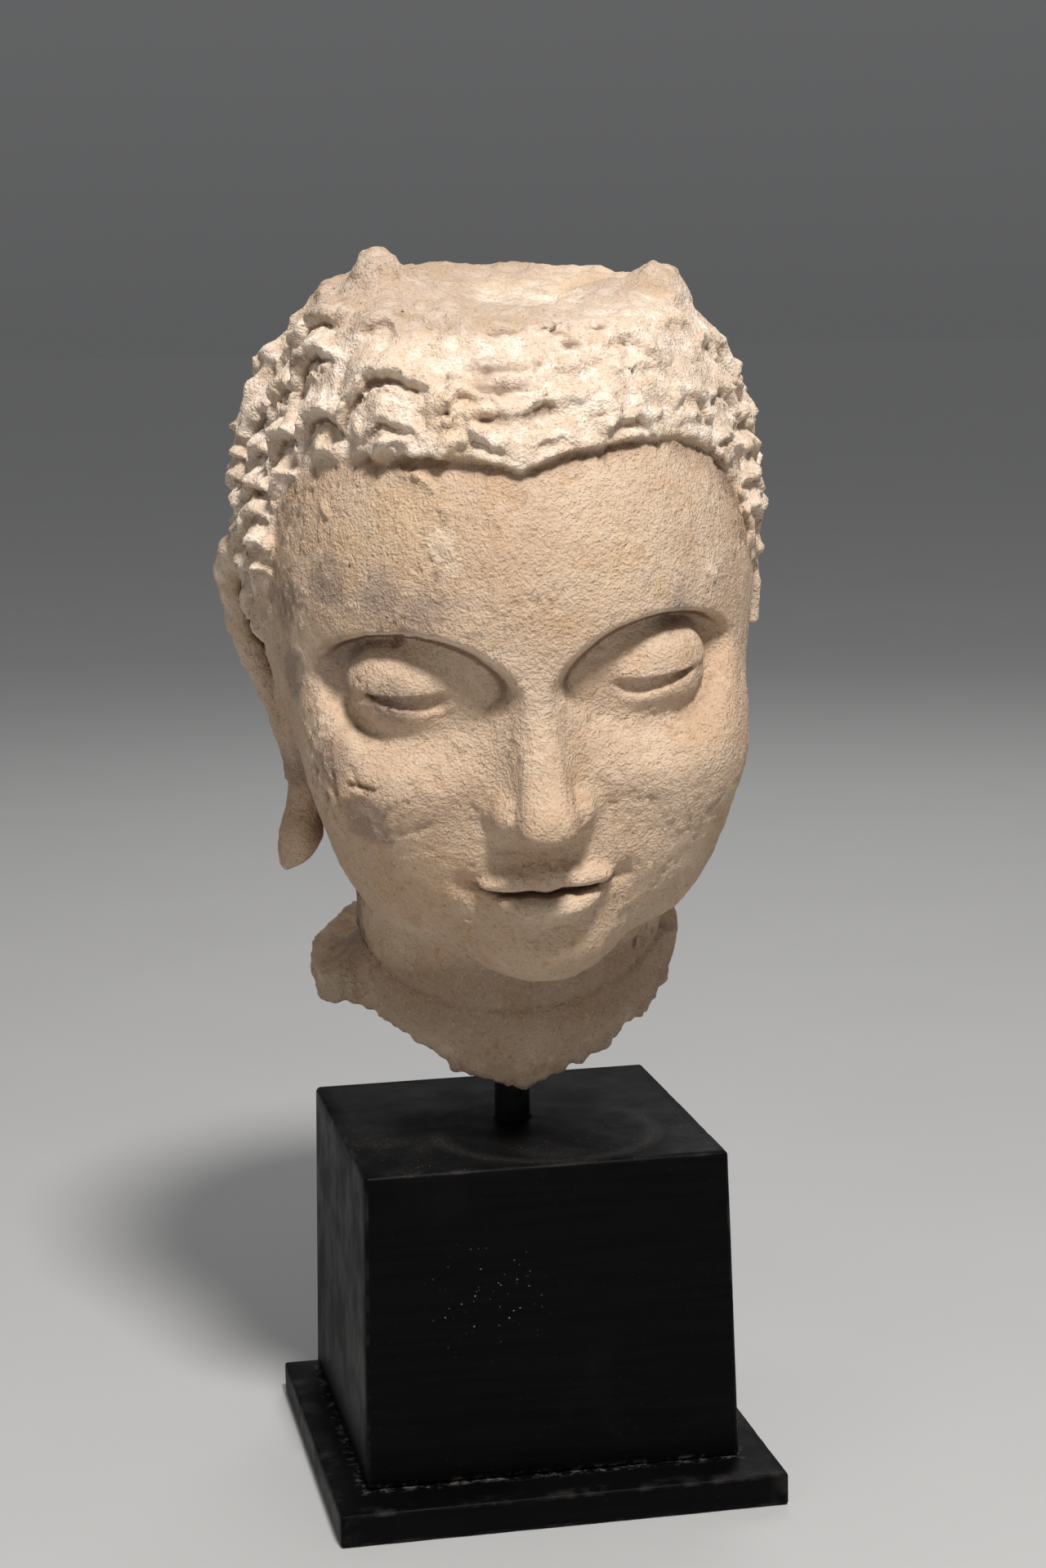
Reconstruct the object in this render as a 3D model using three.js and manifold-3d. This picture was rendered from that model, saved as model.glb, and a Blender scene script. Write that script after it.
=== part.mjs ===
// Ancient stucco head with rows of arched hair locks, broken at the crown and
// at the neck, held by a steel rod above a black painted wooden plinth.
// Millimetres, +Z up. Origin: centre of the plinth's underside. The head looks towards -Y.
import * as THREE from 'three';
import { mergeVertices } from 'three/addons/utils/BufferGeometryUtils.js';
import Module from 'manifold-3d';

const wasm = await Module();
wasm.setup();

// ---------------------------------------------------------------- driving sizes
const SLAB_W = 123;            // square foot slab
const SLAB_H = 9.2;
const SLAB_BEVEL = 0.8;
const BLOCK_TOP = 100;         // square block, slightly wider below
const BLOCK_BOTTOM = 103.7;
const BLOCK_H = 86.5;
const BLOCK_BACK = 5.7;        // the block stands this far behind the slab's middle
const BLOCK_BEVEL = 0.9;
const GAP = 0.3;               // clearance round the rod in its two sockets
const ROD_D = 10;
const ROD_BOTTOM = 66;         // blind socket in the block
const ROD_TOP = 176;           // blind socket in the neck
const ROD_SIDES = 24;

const HEAD_AT = [1.2, 3.0, 230.5];    // origin of the head's own frame
const HEAD_YAW = -5.5;                // degrees, turned a little to its right
const HEAD_PITCH = 11.0;              // bowed forward
const HEAD_ROLL = -3.0;               // leaning to its right

// the face is divided in thirds, from the chin to the edge of the hair
const THIRD = 50;
const CHIN_Z = -75;
const MOUTH_Z = CHIN_Z + 0.655 * THIRD;
const EYE = { x: 27, y: -52, z: 9, width: 31 };
const SKULL = { c: [0, 8, 28], r: [67, 84, 76] };
const FACE = { c: [0, -4, -2], r: [60.5, 72, 76] };
const HAIR = { c: [0.5, 9, 40], r: [72, 88], up: 69, down: 112 };
const LOCK_TILT = 38 * Math.PI / 180; // the pole of the locks leans backwards
const LOCK_COLUMNS = 24;              // 15 degrees each
const LOCK_RADIUS = 84;
const CROWN_Z = 97.6;                 // broken crown
const NECK_R = 43.5;
const NECK_SLOPE = 0.075;             // the break rises to the nape
// lower outline of the broken neck: place across, height
const BREAK = [[-70, -98], [-56, -101.4], [-48, -103], [-42, -103.4], [-34, -107.2], [-25, -110], [-16, -114.4], [-10, -115.6],
  [-4.5, -116], [0, -115], [8, -112], [17, -108.6], [27, -106.6], [33, -104.2], [38, -100.8], [48, -95], [60, -88]];
const HEAD_DETAIL = 19;               // 20 * (detail + 1)^2 facets
const HEAD_FOCUS = [-0.04, -0.38, 0.02]; // draws the facets together on the face

// ---------------------------------------------------------------- small field kit
const clamp = (v, a, b) => Math.min(b, Math.max(a, v));
const step = (a, b, v) => { const t = clamp((v - a) / (b - a), 0, 1); return t * t * (3 - 2 * t); };
const bell = (v, s) => Math.exp(-((v / s) ** 2));
function join(a, b, k) { const h = clamp(0.5 + 0.5 * (b - a) / k, 0, 1); return b + (a - b) * h - k * h * (1 - h); }
const cut = (a, b, k) => -join(-a, -b, k);
function ball(x, y, z, c, r) {
  const X = (x - c[0]) / r[0], Y = (y - c[1]) / r[1], Z = (z - c[2]) / r[2];
  const k0 = Math.hypot(X, Y, Z), k1 = Math.hypot(X / r[0], Y / r[1], Z / r[2]) + 1e-9;
  return k0 * (k0 - 1) / k1;
}
function limb(x, y, z, a, b, ra, rb) {
  const d = [b[0] - a[0], b[1] - a[1], b[2] - a[2]];
  const l2 = d[0] ** 2 + d[1] ** 2 + d[2] ** 2;
  const h = clamp(((x - a[0]) * d[0] + (y - a[1]) * d[1] + (z - a[2]) * d[2]) / l2, 0, 1);
  return Math.hypot(x - a[0] - d[0] * h, y - a[1] - d[1] * h, z - a[2] - d[2] * h) - (ra + (rb - ra) * h);
}
// slow unevenness of hand work and broken edges
const uneven = (a, b, c) => (Math.sin(a * 0.31 + 1.3 + c) + 0.7 * Math.sin(a * 0.67 - b * 0.23 + c * 2 + 0.5)
  + 0.6 * Math.sin(b * 0.49 + a * 0.17 + 2.1 * c) + 0.4 * Math.sin(a * 1.21 + b * 0.9 + c)) / 2.7;

// ---------------------------------------------------------------- face, in its own frame, looking to -Y
function face(x, y, z) {
  const ax = Math.abs(x), front = y < 0 ? 1 : 0;
  let f = ball(x, y, z, SKULL.c, SKULL.r);
  f = join(f, ball(x, y, z, FACE.c, FACE.r), 18);
  f = join(f, ball(ax, y, z, [31.5, -44, -17], [24, 24, 25]), 20);         // cheek
  f = join(f, ball(ax, y, z, [25, -25, -45], [22, 36, 24]), 20);         // jaw
  f = join(f, ball(x, y, z, [0, -54, -38], [26, 21.5, 19]), 14);         // mound of the mouth
  f = join(f, ball(x, y, z, [0, -56.5, -59.5], [19.5, 19, 15]), 14);     // chin
  // hollow of the orbit under the arc of the brow
  const rho = Math.hypot((ax - 30.5) / 29, (z - 3) / 24);
  const side = 1 - step(42, 58, ax), crisp = 0.3 + 0.3 * step(-4, 14, z);
  f += (1 - step(crisp, 1.04, rho)) * step(-22, 4, z) * front * (7.5 * side + 1.2 * (1 - side));
  // lowered lids over a round eye
  const u = (ax - EYE.x) / (EYE.width / 2);
  const lidUp = 10 + 0.8 * u * u - 0.8 * u, lidLow = 5.6 + 5 * u * u - 0.8 * u;
  let eye = ball(ax, y, z, [EYE.x, EYE.y, EYE.z - 0.6], [17, 14.2, 13.6]);
  eye = join(eye, cut(ball(ax, y, z, [EYE.x, EYE.y, EYE.z + 0.4], [20, 16.2, 15.2]), lidUp - z, 2.5), 2);
  eye = join(eye, cut(ball(ax, y, z, [EYE.x, EYE.y, EYE.z - 1.4], [19.4, 15.3, 13.6]), z - lidLow, 2.5), 2);
  f = join(f, eye, 3.5);
  // straight nose with a flat ridge
  const tz = -19.5, ty = -93.5, rz = 16, ry = -75, L = Math.hypot(tz - rz, ty - ry);
  const dFront = (y - ty) * -(rz - tz) / L + (z - tz) * -(ty - ry) / L;
  const half = 3.1 + 2.1 * step(14, -20, z);
  const dSide = (ax - half - 0.34 * Math.max(0, -dFront)) * 0.945;
  const dBelow = (-(z + 23) - 0.16 * (y + 92)) * 0.987;
  let n = cut(cut(dFront, dSide, 3.2), dBelow, 3.5);
  n = cut(cut(n, z - 32, 8), y + 60, 2);
  n = join(n, ball(x, y, z, [0, -87.5, -19.2], [6.2, 7.2, 5.8]), 4.5);
  n = join(n, ball(ax, y, z, [8.4, -77, -20.2], [5, 8.2, 5.6]), 3);
  f = join(f, n, 5);
  f = cut(f, -ball(ax, y, z, [4.6, -82, -27.4], [2.4, 4.6, 2.8]), 1.6);
  // closed lips
  const zm = MOUTH_Z + 0.9 * (ax / 20) ** 2 - 0.8 * bell(x, 3);
  const fore = y < -50 ? 1 : 0;
  let lip = ball(ax, y, z + 0.15 * ax, [6.2, -73.2, -37.8], [12, 6.2, 4.1]);
  lip = join(lip, ball(x, y, z, [0, -74.6, -39.8], [4.6, 5.6, 3.2]), 2.5);
  lip = join(lip, ball(x, y, z - 0.012 * x * x, [0, -73, -46.8], [15, 7.8, 4.8]), 0.8);
  f = join(f, lip, 1.8);
  f = cut(f, -ball(x, y, z - 0.008 * x * x, [0, -80.8, -55.6], [15, 5.4, 3.6]), 3);
  f += 2.2 * bell(z - zm, 1.1) * (1 - step(15.5, 21, ax)) * fore;
  f += 1.6 * Math.exp(-((ax - 20.5) ** 2 + (z - zm - 0.2) ** 2) / 3.2 ** 2) * fore;
  return f;
}

// ---------------------------------------------------------------- neck with one crease and the thicker rim behind
function neck(x, y, z) {
  let n = limb(x, y, z, [-2, 4, -50], [-6, 6, -140], NECK_R, NECK_R + 1.5);
  let rim = (Math.hypot((x + 8.5) / 53, (y - 7) / 51) - 1) * 52;
  rim = cut(rim, z + 88.5 - 0.06 * Math.max(x, 0) + 1.3 * uneven(x, y, 0.4), 2.4);
  rim = cut(rim, -(y + 8), 5);
  n = join(n, rim, 6);
  const crease = -92 + 0.0046 * (x + 4) ** 2;
  return n + (0.9 * bell(z - crease, 1.2) - 0.5 * bell(z - crease + 3.6, 2.6)) * (y < 12 ? 1 : 0);
}

// ---------------------------------------------------------------- long ear: rim, inner fold, plate and stretched lobe
const RIM = [[60, 2, 8], [64, 3.5, 18], [69, 8.5, 28], [73.6, 14, 30], [75.2, 18, 22], [73.6, 19, 8], [70.2, 18, -3],
  [66, 16, -12], [62.6, 13, -23], [60.4, 9, -34], [59, 6, -42]];
const RIM_R = [3.4, 3.6, 3.8, 4, 4, 3.8, 3.7, 3.6, 3.7, 4, 4.4];
const FOLD = [[62, 5, 0], [62.5, 8, -11], [60.5, 8.5, -22], [58.5, 7, -33]];
function ear(x, y, z) {
  let e = Infinity;
  for (let i = 0; i + 1 < RIM.length; i++) e = i ? join(e, limb(x, y, z, RIM[i], RIM[i + 1], RIM_R[i], RIM_R[i + 1]), 1.6)
    : limb(x, y, z, RIM[0], RIM[1], RIM_R[0], RIM_R[1]);
  for (let i = 0; i + 1 < FOLD.length; i++) e = join(e, limb(x, y, z, FOLD[i], FOLD[i + 1], 2.9, 2.9), 1.6);
  e = join(e, ball(x, y, z, [59.5, 11, 2], [5, 11, 26]), 2.2);
  let lobe = limb(x, y, z, [58.4, 5, -38], [61, 3, -50], 4.6, 5.4);
  lobe = join(lobe, ball(x, y, z, [61.6, 2.6, -52], [5.6, 8.4, 9.6]), 3);
  lobe = join(lobe, ball(x, y, z, [64.2, 2.2, -56], [3.6, 5.5, 6]), 3);
  return join(e, lobe, 3.5);
}
const stump = (x, y, z) => cut(ball(x, y, z, [62, 11.5, 14], [12, 11.5, 19.5]), -4 - z + 0.15 * (y - 16), 2.5);

// ---------------------------------------------------------------- hair: columns of arched locks, each a hood over a hollow
// column centre in degrees: [distance from the pole in degrees, half width, height, depth of the hollow]
const LOCKS = new Map([
  [-8, [[93.6, 7.6, 3.4, 1.4], [86, 8, 2.8, 1.3], [79, 7, 0.9, 0.3], [72, 8, 0.9, 0.3], [59, 8, 0.8, 0.3]]],
  [7, [[94.5, 8.5, 1.6, 0.5], [87, 8, 1.5, 0.5], [80.5, 7, 0.8, 0.3], [73, 7, 1.1, 0.3], [58, 9, 0.7, 0.2]]],
  [-23, [[91.8, 7.5, 3.4, 2.2], [87.2, 9, 3, 1.5], [78.6, 12.6, 5, 3], [67, 5, 2.4, 1], [57.6, 8, 5, 2.8]]],
  [-40, [[92, 11.5, 3.2, 0.8], [86, 7.5, 3.2, 1.6], [78, 9, 4.6, 2.8], [66, 8.2, 4.8, 2.8], [58.5, 8.2, 4.4, 1.8], [48, 8, 1.6, 0.6]]],
  [-53, [[101, 6, 2.6, 1.5], [94, 6.4, 4.8, 2.8], [89.6, 6.4, 4.3, 2], [84.6, 7.2, 4.2, 1.8], [76, 8, 4.4, 2.4], [65, 8.2, 3.8, 1.8],
    [54.5, 8, 3, 1.2]]],
  [-68, [[111, 6, 2.6, 1.4], [105, 6.5, 2.6, 1.5], [99.5, 6.5, 3.4, 2], [93.5, 7.5, 3.8, 2.2], [86.5, 7.8, 4.2, 2.4], [80, 8.5, 4.6, 2.6],
    [71.5, 8.5, 4.4, 2.4], [62, 8.5, 3.8, 1.8], [52, 8, 2.4, 1]]],
  [-83, [[112, 7, 2.8, 1.4], [105.5, 7.5, 3.2, 1.6], [99, 8, 3.6, 1.8], [91.5, 8.5, 3.8, 2], [84.5, 8.5, 4, 2.2], [77, 8.5, 4.2, 2.4],
    [72.2, 8.5, 4.2, 2.2], [67.4, 8.5, 4, 2], [62, 8, 4.2, 2], [53, 8, 2.6, 1]]],
  [22, [[89.6, 9.2, 3.2, 1.6], [80.5, 7, 0.8, 0.3], [74, 8.2, 2.8, 1.6], [67, 7, 1, 0.4], [59, 8, 1.6, 0.6]]],
  [38, [[97, 8, 1.6, 0.6], [90.4, 7.6, 2.2, 0.9], [85.6, 8, 2.3, 0.9], [81.4, 8.6, 2.8, 1.1], [66, 8.5, 1.9, 0.8], [55, 8, 1.4, 0.5]]],
  [51, [[105, 6.5, 2, 0.9], [99.8, 6.8, 2.3, 1.1], [95, 7, 2.8, 1.2], [85, 8, 2.4, 1.1], [75.5, 8.2, 2.6, 1.2], [64.5, 8.2, 2, 0.9],
    [54, 8, 1.4, 0.5]]],
  [66, [[109, 7, 2.2, 1], [102, 7.2, 2.5, 1.1], [95, 7.8, 2.6, 1.2], [88, 8, 2.8, 1.2], [81, 8.2, 3, 1.3], [74.5, 8.2, 3, 1.3],
    [68, 8.2, 2.8, 1.1], [57, 8, 1.8, 0.7]]],
]);
for (let k = 0; k < LOCK_COLUMNS - 11; k++) {                             // the sides and back, plainer and even
  const turn = 82 + 15 * k, soft = turn > 110 && turn < 250 ? 0.78 : 0.9, rows = [];
  for (let a = 48 + 5.5 * (k % 2); a < 150; a += 10) rows.push([a, 8.4, 3.4 * soft, 1.7 * soft]);
  LOCKS.set(turn < 180 ? turn : turn - 360, rows);
}
const COLUMNS = [...LOCKS].map(([turn, rows]) => ({ turn, rows }));
function locks(x, y, z) {
  const c = Math.cos(LOCK_TILT), s = Math.sin(LOCK_TILT);
  const Y = (y - 9) * c - (z - 26) * s, Z = (y - 9) * s + (z - 26) * c, r = Math.hypot(x, Y, Z) + 1e-6;
  const down = Math.acos(clamp(Z / r, -1, 1)), turn = Math.atan2(x, -Y) * 180 / Math.PI;
  let crest = 0, hollow = 0;
  for (const column of COLUMNS) {
    const off = ((turn - column.turn + 540) % 360) - 180;
    if (Math.abs(off) > 24) continue;
    const u = off * Math.PI / 180 * Math.sin(down) * LOCK_RADIUS;
    for (const [at, wide, high, deep] of column.rows) {
      const w = (column.turn > -30 && column.turn < 45 ? 1.18 : 1.4) * wide, q = Math.abs(u) / w, rise = high > 1.2 ? 11.5 : 5;
      if (q > 1.14) continue;
      const d = (down - at * Math.PI / 180) * LOCK_RADIUS - 0.64 * w * q ** 1.45;
      if (d < -rise || d > 9) continue;
      const ridge = d < 0 ? clamp(1 + d / rise, 0, 1) ** 1.5 : 1 - step(0, 1.6, d);
      crest = Math.max(crest, 0.8 * high * (1 - step(0.78, 1.14, q)) * ridge * (1 - 0.3 * q * q));
      hollow = Math.max(hollow, 0.45 * deep * step(0, 1.2, d) * (1 - step(2, 9, d)) * (1 - step(0.45, 1, q)));
    }
  }
  return [crest - hollow, down * 180 / Math.PI];
}
function dome(x, y, z) {
  const up = z > HAIR.c[2] ? HAIR.up : HAIR.down;
  const X = (x - HAIR.c[0]) / HAIR.r[0], Y = (y - HAIR.c[1]) / HAIR.r[1], Z = (z - HAIR.c[2]) / up;
  const side = X * X / Math.sqrt(X * X + Y * Y + 0.01);
  return ball(x, y, z, HAIR.c, [...HAIR.r, up]) - (8 + 5 * step(10, -30, x)) * clamp(Z, 0, 1) * side;
}
function hair(x, y, z) {
  const [h] = locks(x, y, z);
  const ax = Math.abs(x), peak = 68.3 - 4.6 * Math.exp(-ax / 9);          // the edge dips over the middle of the brow
  const g = ((ax / 65) ** 3.7 + (Math.max(z - 2, 0) / peak) ** 3.7 + 1e-9) ** (1 / 3.7) * 62 - 62;
  const on = y < 24 ? 0.28 + 0.72 * step(0, 5, g) : 1;
  const temple = step(22, 50, ax), rim = y < 10 ? 0.9 * bell(g - 1.2, 1.4) * (1 - 0.7 * temple) : 0;
  const skin = ball(x, y, z, SKULL.c, SKULL.r) - (2.3 - 0.8 * temple + 0.42 * Math.max(g, 0) + 40 * step(12, 30, y));
  let f = cut(dome(x, y, z) + 0.5, skin, 3) - h * on - rim + 1.3 * step(45, 12, z) * step(45, 62, x)
    + 3 * step(-32, -56, x) * step(60, 30, y) * step(34, 62, z);
  f = cut(f, y < 34 ? -g : -30, 1.5);
  const low = Math.max(-5 * step(-4, 12, y) - 1.1 * Math.max(y - 22, 0), -50);
  return cut(f, low - z + 1.5 * uneven(y, x, 1), 3);
}

// ---------------------------------------------------------------- whole head without its left ear
function head(x, y, z) {
  let f = face(x, y, z);
  f = join(f, neck(x, y, z), 4.5);
  f = join(f, hair(x, y, z), 1.3);
  f = join(f, stump(x, y, z), 1.8);
  // lost crown: a rough hollow with two remains at its edge
  const rr = Math.hypot(x - 4, y - 12);
  const top = CROWN_Z - 0.05 * x + 1.6 * step(8, -34, x) - 0.01 * (y - 10) - 2 * (1 - step(0, 38, rr)) + 0.8 * uneven(x, y, 3);
  f = cut(f, z - top, 1.8);
  f = join(f, ball(x, y, z, [-28.6, 5, 99.2], [8.2, 11, 12.5]), 6);
  f = join(f, ball(x, y, z, [-20, 1, 96.5], [9, 12, 6]), 5);
  f = join(f, ball(x, y, z, [45.5, 6, 92.8], [8.2, 12, 9.6]), 5);
  f = join(f, ball(x, y, z, [34, 5, 92], [10, 14, 5.5]), 5);
  return cut(f, neckEnd(x, y) - 9 - z, 1.6);                               // left long, then cut by the break
}
function neckEnd(x, y) {
  let i = 0;
  while (i < BREAK.length - 2 && x > BREAK[i + 1][0]) i++;
  const [x0, z0] = BREAK[i], [x1, z1] = BREAK[i + 1];
  return z0 + (z1 - z0) * clamp((x - x0) / (x1 - x0), 0, 1) + NECK_SLOPE * (y + 42) + 1.2 * uneven(x, y, 0);
}
function breakBelow() {
  // a block with the rough height of the break as its upper face
  const g = new THREE.BoxGeometry(130, 140, 60, 15, 16, 1), p = g.getAttribute('position');
  for (let i = 0; i < p.count; i++) {
    const x = p.getX(i), y = p.getY(i) + 4;
    p.setXYZ(i, x, y, p.getZ(i) > 0 ? neckEnd(x, y) : -170);
  }
  return g;
}

// ---------------------------------------------------------------- meshes from the fields
function wrap(geometry, field, centre, reach, focus, width = 2) {
  // moves each vertex of a round starting shape out to the field's surface, along the ray from the centre
  geometry.deleteAttribute('normal'); geometry.deleteAttribute('uv');
  const g = mergeVertices(geometry, 1e-4), p = g.getAttribute('position'), d = new THREE.Vector3();
  for (let i = 0; i < p.count; i++) {
    d.fromBufferAttribute(p, i).normalize().add(focus).normalize();
    const at = t => field(centre[0] + d.x * t, centre[1] + d.y * t, centre[2] + d.z * t);
    let out = reach;
    while (out > width && at(out) > 0) out -= width;
    let a = out, b = out + width;
    for (let k = 0; k < 16; k++) { const m = (a + b) / 2; if (at(m) > 0) b = m; else a = m; }
    p.setXYZ(i, centre[0] + d.x * a, centre[1] + d.y * a, centre[2] + d.z * a);
  }
  return g;
}
function wrapEar() {
  // rings along the ear's own line, each drawn out to the surface of the ear
  const line = new THREE.CatmullRomCurve3([[71.6, 12.4, 33.4], [70.6, 12, 27], [68, 11.5, 16], [66, 11.5, 2], [63.2, 11, -13],
    [60.5, 7.8, -31], [59.8, 4.5, -42], [61.4, 2.8, -52], [62, 2.4, -61.6]].map(v => new THREE.Vector3(...v)));
  const rings = 24, round = 16;
  const g0 = new THREE.CylinderGeometry(1, 1, rings, round, rings, false);
  g0.deleteAttribute('normal'); g0.deleteAttribute('uv');
  const g = mergeVertices(g0, 1e-4), p = g.getAttribute('position');
  for (let i = 0; i < p.count; i++) {
    const s = clamp(0.5 - p.getY(i) / rings, 0, 1), c = line.getPoint(s);
    const q = Math.hypot(p.getX(i), p.getZ(i));
    if (q < 0.5) { p.setXYZ(i, c.x, c.y, c.z); continue; }
    const dx = p.getX(i) / q, dy = -p.getZ(i) / q;
    const at = t => ear(c.x + dx * t, c.y + dy * t, c.z);
    let t = 20;
    while (t > 1 && at(t) > 0) t -= 0.5;
    p.setXYZ(i, c.x + dx * t, c.y + dy * t, c.z);
  }
  return g;
}
function solid(geometry, matrix) {
  geometry.deleteAttribute('normal'); geometry.deleteAttribute('uv');
  const g = mergeVertices(geometry, 1e-4);
  if (matrix) g.applyMatrix4(matrix);
  const mesh = new wasm.Mesh({
    numProp: 3,
    vertProperties: new Float32Array(g.getAttribute('position').array),
    triVerts: new Uint32Array(g.getIndex().array),
  });
  mesh.merge();
  return new wasm.Manifold(mesh);
}
function geometryOf(manifold) {
  const m = manifold.getMesh(), g = new THREE.BufferGeometry();
  g.setAttribute('position', new THREE.BufferAttribute(new Float32Array(m.vertProperties), 3));
  g.setIndex(new THREE.BufferAttribute(new Uint32Array(m.triVerts), 1));
  g.computeVertexNormals();
  return g;
}
function upright(diameter, z0, z1, y) {
  const g = new THREE.CylinderGeometry(diameter / 2, diameter / 2, z1 - z0, ROD_SIDES);
  return solid(g, new THREE.Matrix4().makeTranslation(0, y, (z0 + z1) / 2).multiply(new THREE.Matrix4().makeRotationX(Math.PI / 2)));
}
function squareBlock(top, bottom, height, bevel, z0) {
  // a four-sided lathe, stood up square to the axes, with a small bevel along its top edge
  const corner = Math.SQRT2;                                    // half side to half diagonal
  const profile = [[0, 0], [bottom / 2, 0], [top / 2, height - bevel], [top / 2 - bevel, height], [0, height]]
    .map(([r, h]) => new THREE.Vector2(r * corner, h));
  const g = new THREE.LatheGeometry(profile, 4, Math.PI / 4), p = g.getAttribute('position');
  for (let i = 0; i < p.count; i++) p.setXYZ(i, p.getX(i), -p.getZ(i), p.getY(i) + z0);
  return g;
}

const degrees = Math.PI / 180;
const pose = new THREE.Matrix4().makeTranslation(...HEAD_AT)
  .multiply(new THREE.Matrix4().makeRotationZ(HEAD_YAW * degrees))
  .multiply(new THREE.Matrix4().makeRotationX(HEAD_PITCH * degrees))
  .multiply(new THREE.Matrix4().makeRotationY(HEAD_ROLL * degrees));

const headShell = solid(wrap(new THREE.IcosahedronGeometry(1, HEAD_DETAIL), head, [0, -14, -4], 150, new THREE.Vector3(...HEAD_FOCUS)));
const mirror = new THREE.Matrix4().makeScale(-1, 1, 1);
const earGeometry = wrapEar();
earGeometry.applyMatrix4(mirror);
{ // mirrored, so each facet is turned back to face outwards
  const k = earGeometry.getIndex().array;
  for (let i = 0; i < k.length; i += 3) { const t = k[i]; k[i] = k[i + 1]; k[i + 1] = t; }
}
const leftEar = solid(earGeometry);
const headSolid = headShell.add(leftEar).subtract(solid(breakBelow())).transform(pose.elements)
  .subtract(upright(ROD_D + 2 * GAP, 100, ROD_TOP + GAP, BLOCK_BACK));

const rodSolid = upright(ROD_D, ROD_BOTTOM, ROD_TOP, BLOCK_BACK);
const blockSolid = solid(squareBlock(BLOCK_TOP, BLOCK_BOTTOM, BLOCK_H, BLOCK_BEVEL, SLAB_H))
  .translate([0, BLOCK_BACK, 0])
  .subtract(upright(ROD_D + 2 * GAP, ROD_BOTTOM - GAP, 120, BLOCK_BACK));
const slabSolid = solid(squareBlock(SLAB_W, SLAB_W, SLAB_H, SLAB_BEVEL, 0));

// ---------------------------------------------------------------- scene
const stucco = new THREE.MeshStandardMaterial({ color: 0xc7a988, roughness: 0.95, metalness: 0 });
const steel = new THREE.MeshStandardMaterial({ color: 0x1a1a1b, roughness: 0.5, metalness: 0.6 });
const blackPaint = new THREE.MeshStandardMaterial({ color: 0x0d0d0f, roughness: 0.42, metalness: 0 });

const root = new THREE.Group();
root.name = 'stucco_head_on_plinth';
function part(name, solidBody, material) {
  const mesh = new THREE.Mesh(geometryOf(solidBody), material);
  mesh.name = name;
  root.add(mesh);
  return mesh;
}
part('stucco_head', headSolid, stucco);
part('mount_rod', rodSolid, steel);
part('plinth_block', blockSolid, blackPaint);
part('plinth_slab', slabSolid, blackPaint);

export default root;
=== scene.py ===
import math
import bpy
import bmesh
import numpy as np
from mathutils import Matrix, Vector


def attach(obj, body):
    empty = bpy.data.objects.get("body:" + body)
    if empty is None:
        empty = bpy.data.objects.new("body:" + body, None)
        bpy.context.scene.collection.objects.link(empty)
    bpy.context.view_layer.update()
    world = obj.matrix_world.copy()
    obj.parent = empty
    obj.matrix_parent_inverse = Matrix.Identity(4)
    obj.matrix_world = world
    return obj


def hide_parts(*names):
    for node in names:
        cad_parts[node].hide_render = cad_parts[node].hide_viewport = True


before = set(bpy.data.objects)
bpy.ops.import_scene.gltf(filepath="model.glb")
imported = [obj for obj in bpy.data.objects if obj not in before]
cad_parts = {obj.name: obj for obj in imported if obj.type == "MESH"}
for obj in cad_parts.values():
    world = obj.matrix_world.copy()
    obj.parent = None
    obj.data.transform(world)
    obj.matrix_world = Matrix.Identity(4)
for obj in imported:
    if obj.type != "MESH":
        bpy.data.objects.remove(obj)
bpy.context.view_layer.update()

scene = bpy.context.scene
f32 = np.float32

# ------------------------------------------------------------------ camera
CAM_AT = (-0.1558, -0.8087, 0.3205)
CAM_AXES = ((0.980238, 0.049932, -0.191416),
            (-0.196774, 0.146678, -0.969415),
            (-0.020328, 0.987923, 0.153604))
cam_data = bpy.data.cameras.new("camera")
cam_data.sensor_fit = "AUTO"
cam_data.sensor_width = 36.0
cam_data.lens = 68.80
cam_data.clip_start = 0.02
cam = bpy.data.objects.new("camera", cam_data)
scene.collection.objects.link(cam)
cam.matrix_world = Matrix.Translation(CAM_AT) @ Matrix(CAM_AXES).to_4x4()
scene.camera = cam

# ------------------------------------------------------------------ where the head sits (mm, as in the solids)
HEAD_AT = np.array([1.2, 3.0, 230.5])


def turn(yaw, pitch, roll):
    a, b, c = np.radians([yaw, pitch, roll])
    rz = np.array([[np.cos(a), -np.sin(a), 0], [np.sin(a), np.cos(a), 0], [0, 0, 1]])
    rx = np.array([[1, 0, 0], [0, np.cos(b), -np.sin(b)], [0, np.sin(b), np.cos(b)]])
    ry = np.array([[np.cos(c), 0, np.sin(c)], [0, 1, 0], [-np.sin(c), 0, np.cos(c)]])
    return rz @ rx @ ry


HEAD_TURN = turn(-5.5, 11.0, -3.0)
ROD_Y = 5.7
ROD_R = 5.0
ROD_TOP = 176.0
ROD_BOTTOM = 66.0

# ------------------------------------------------------------------ field kit, millimetres in the head's own frame
_table = (np.random.RandomState(7).rand(64, 64, 64) * 2 - 1).astype(f32).ravel()


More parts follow.
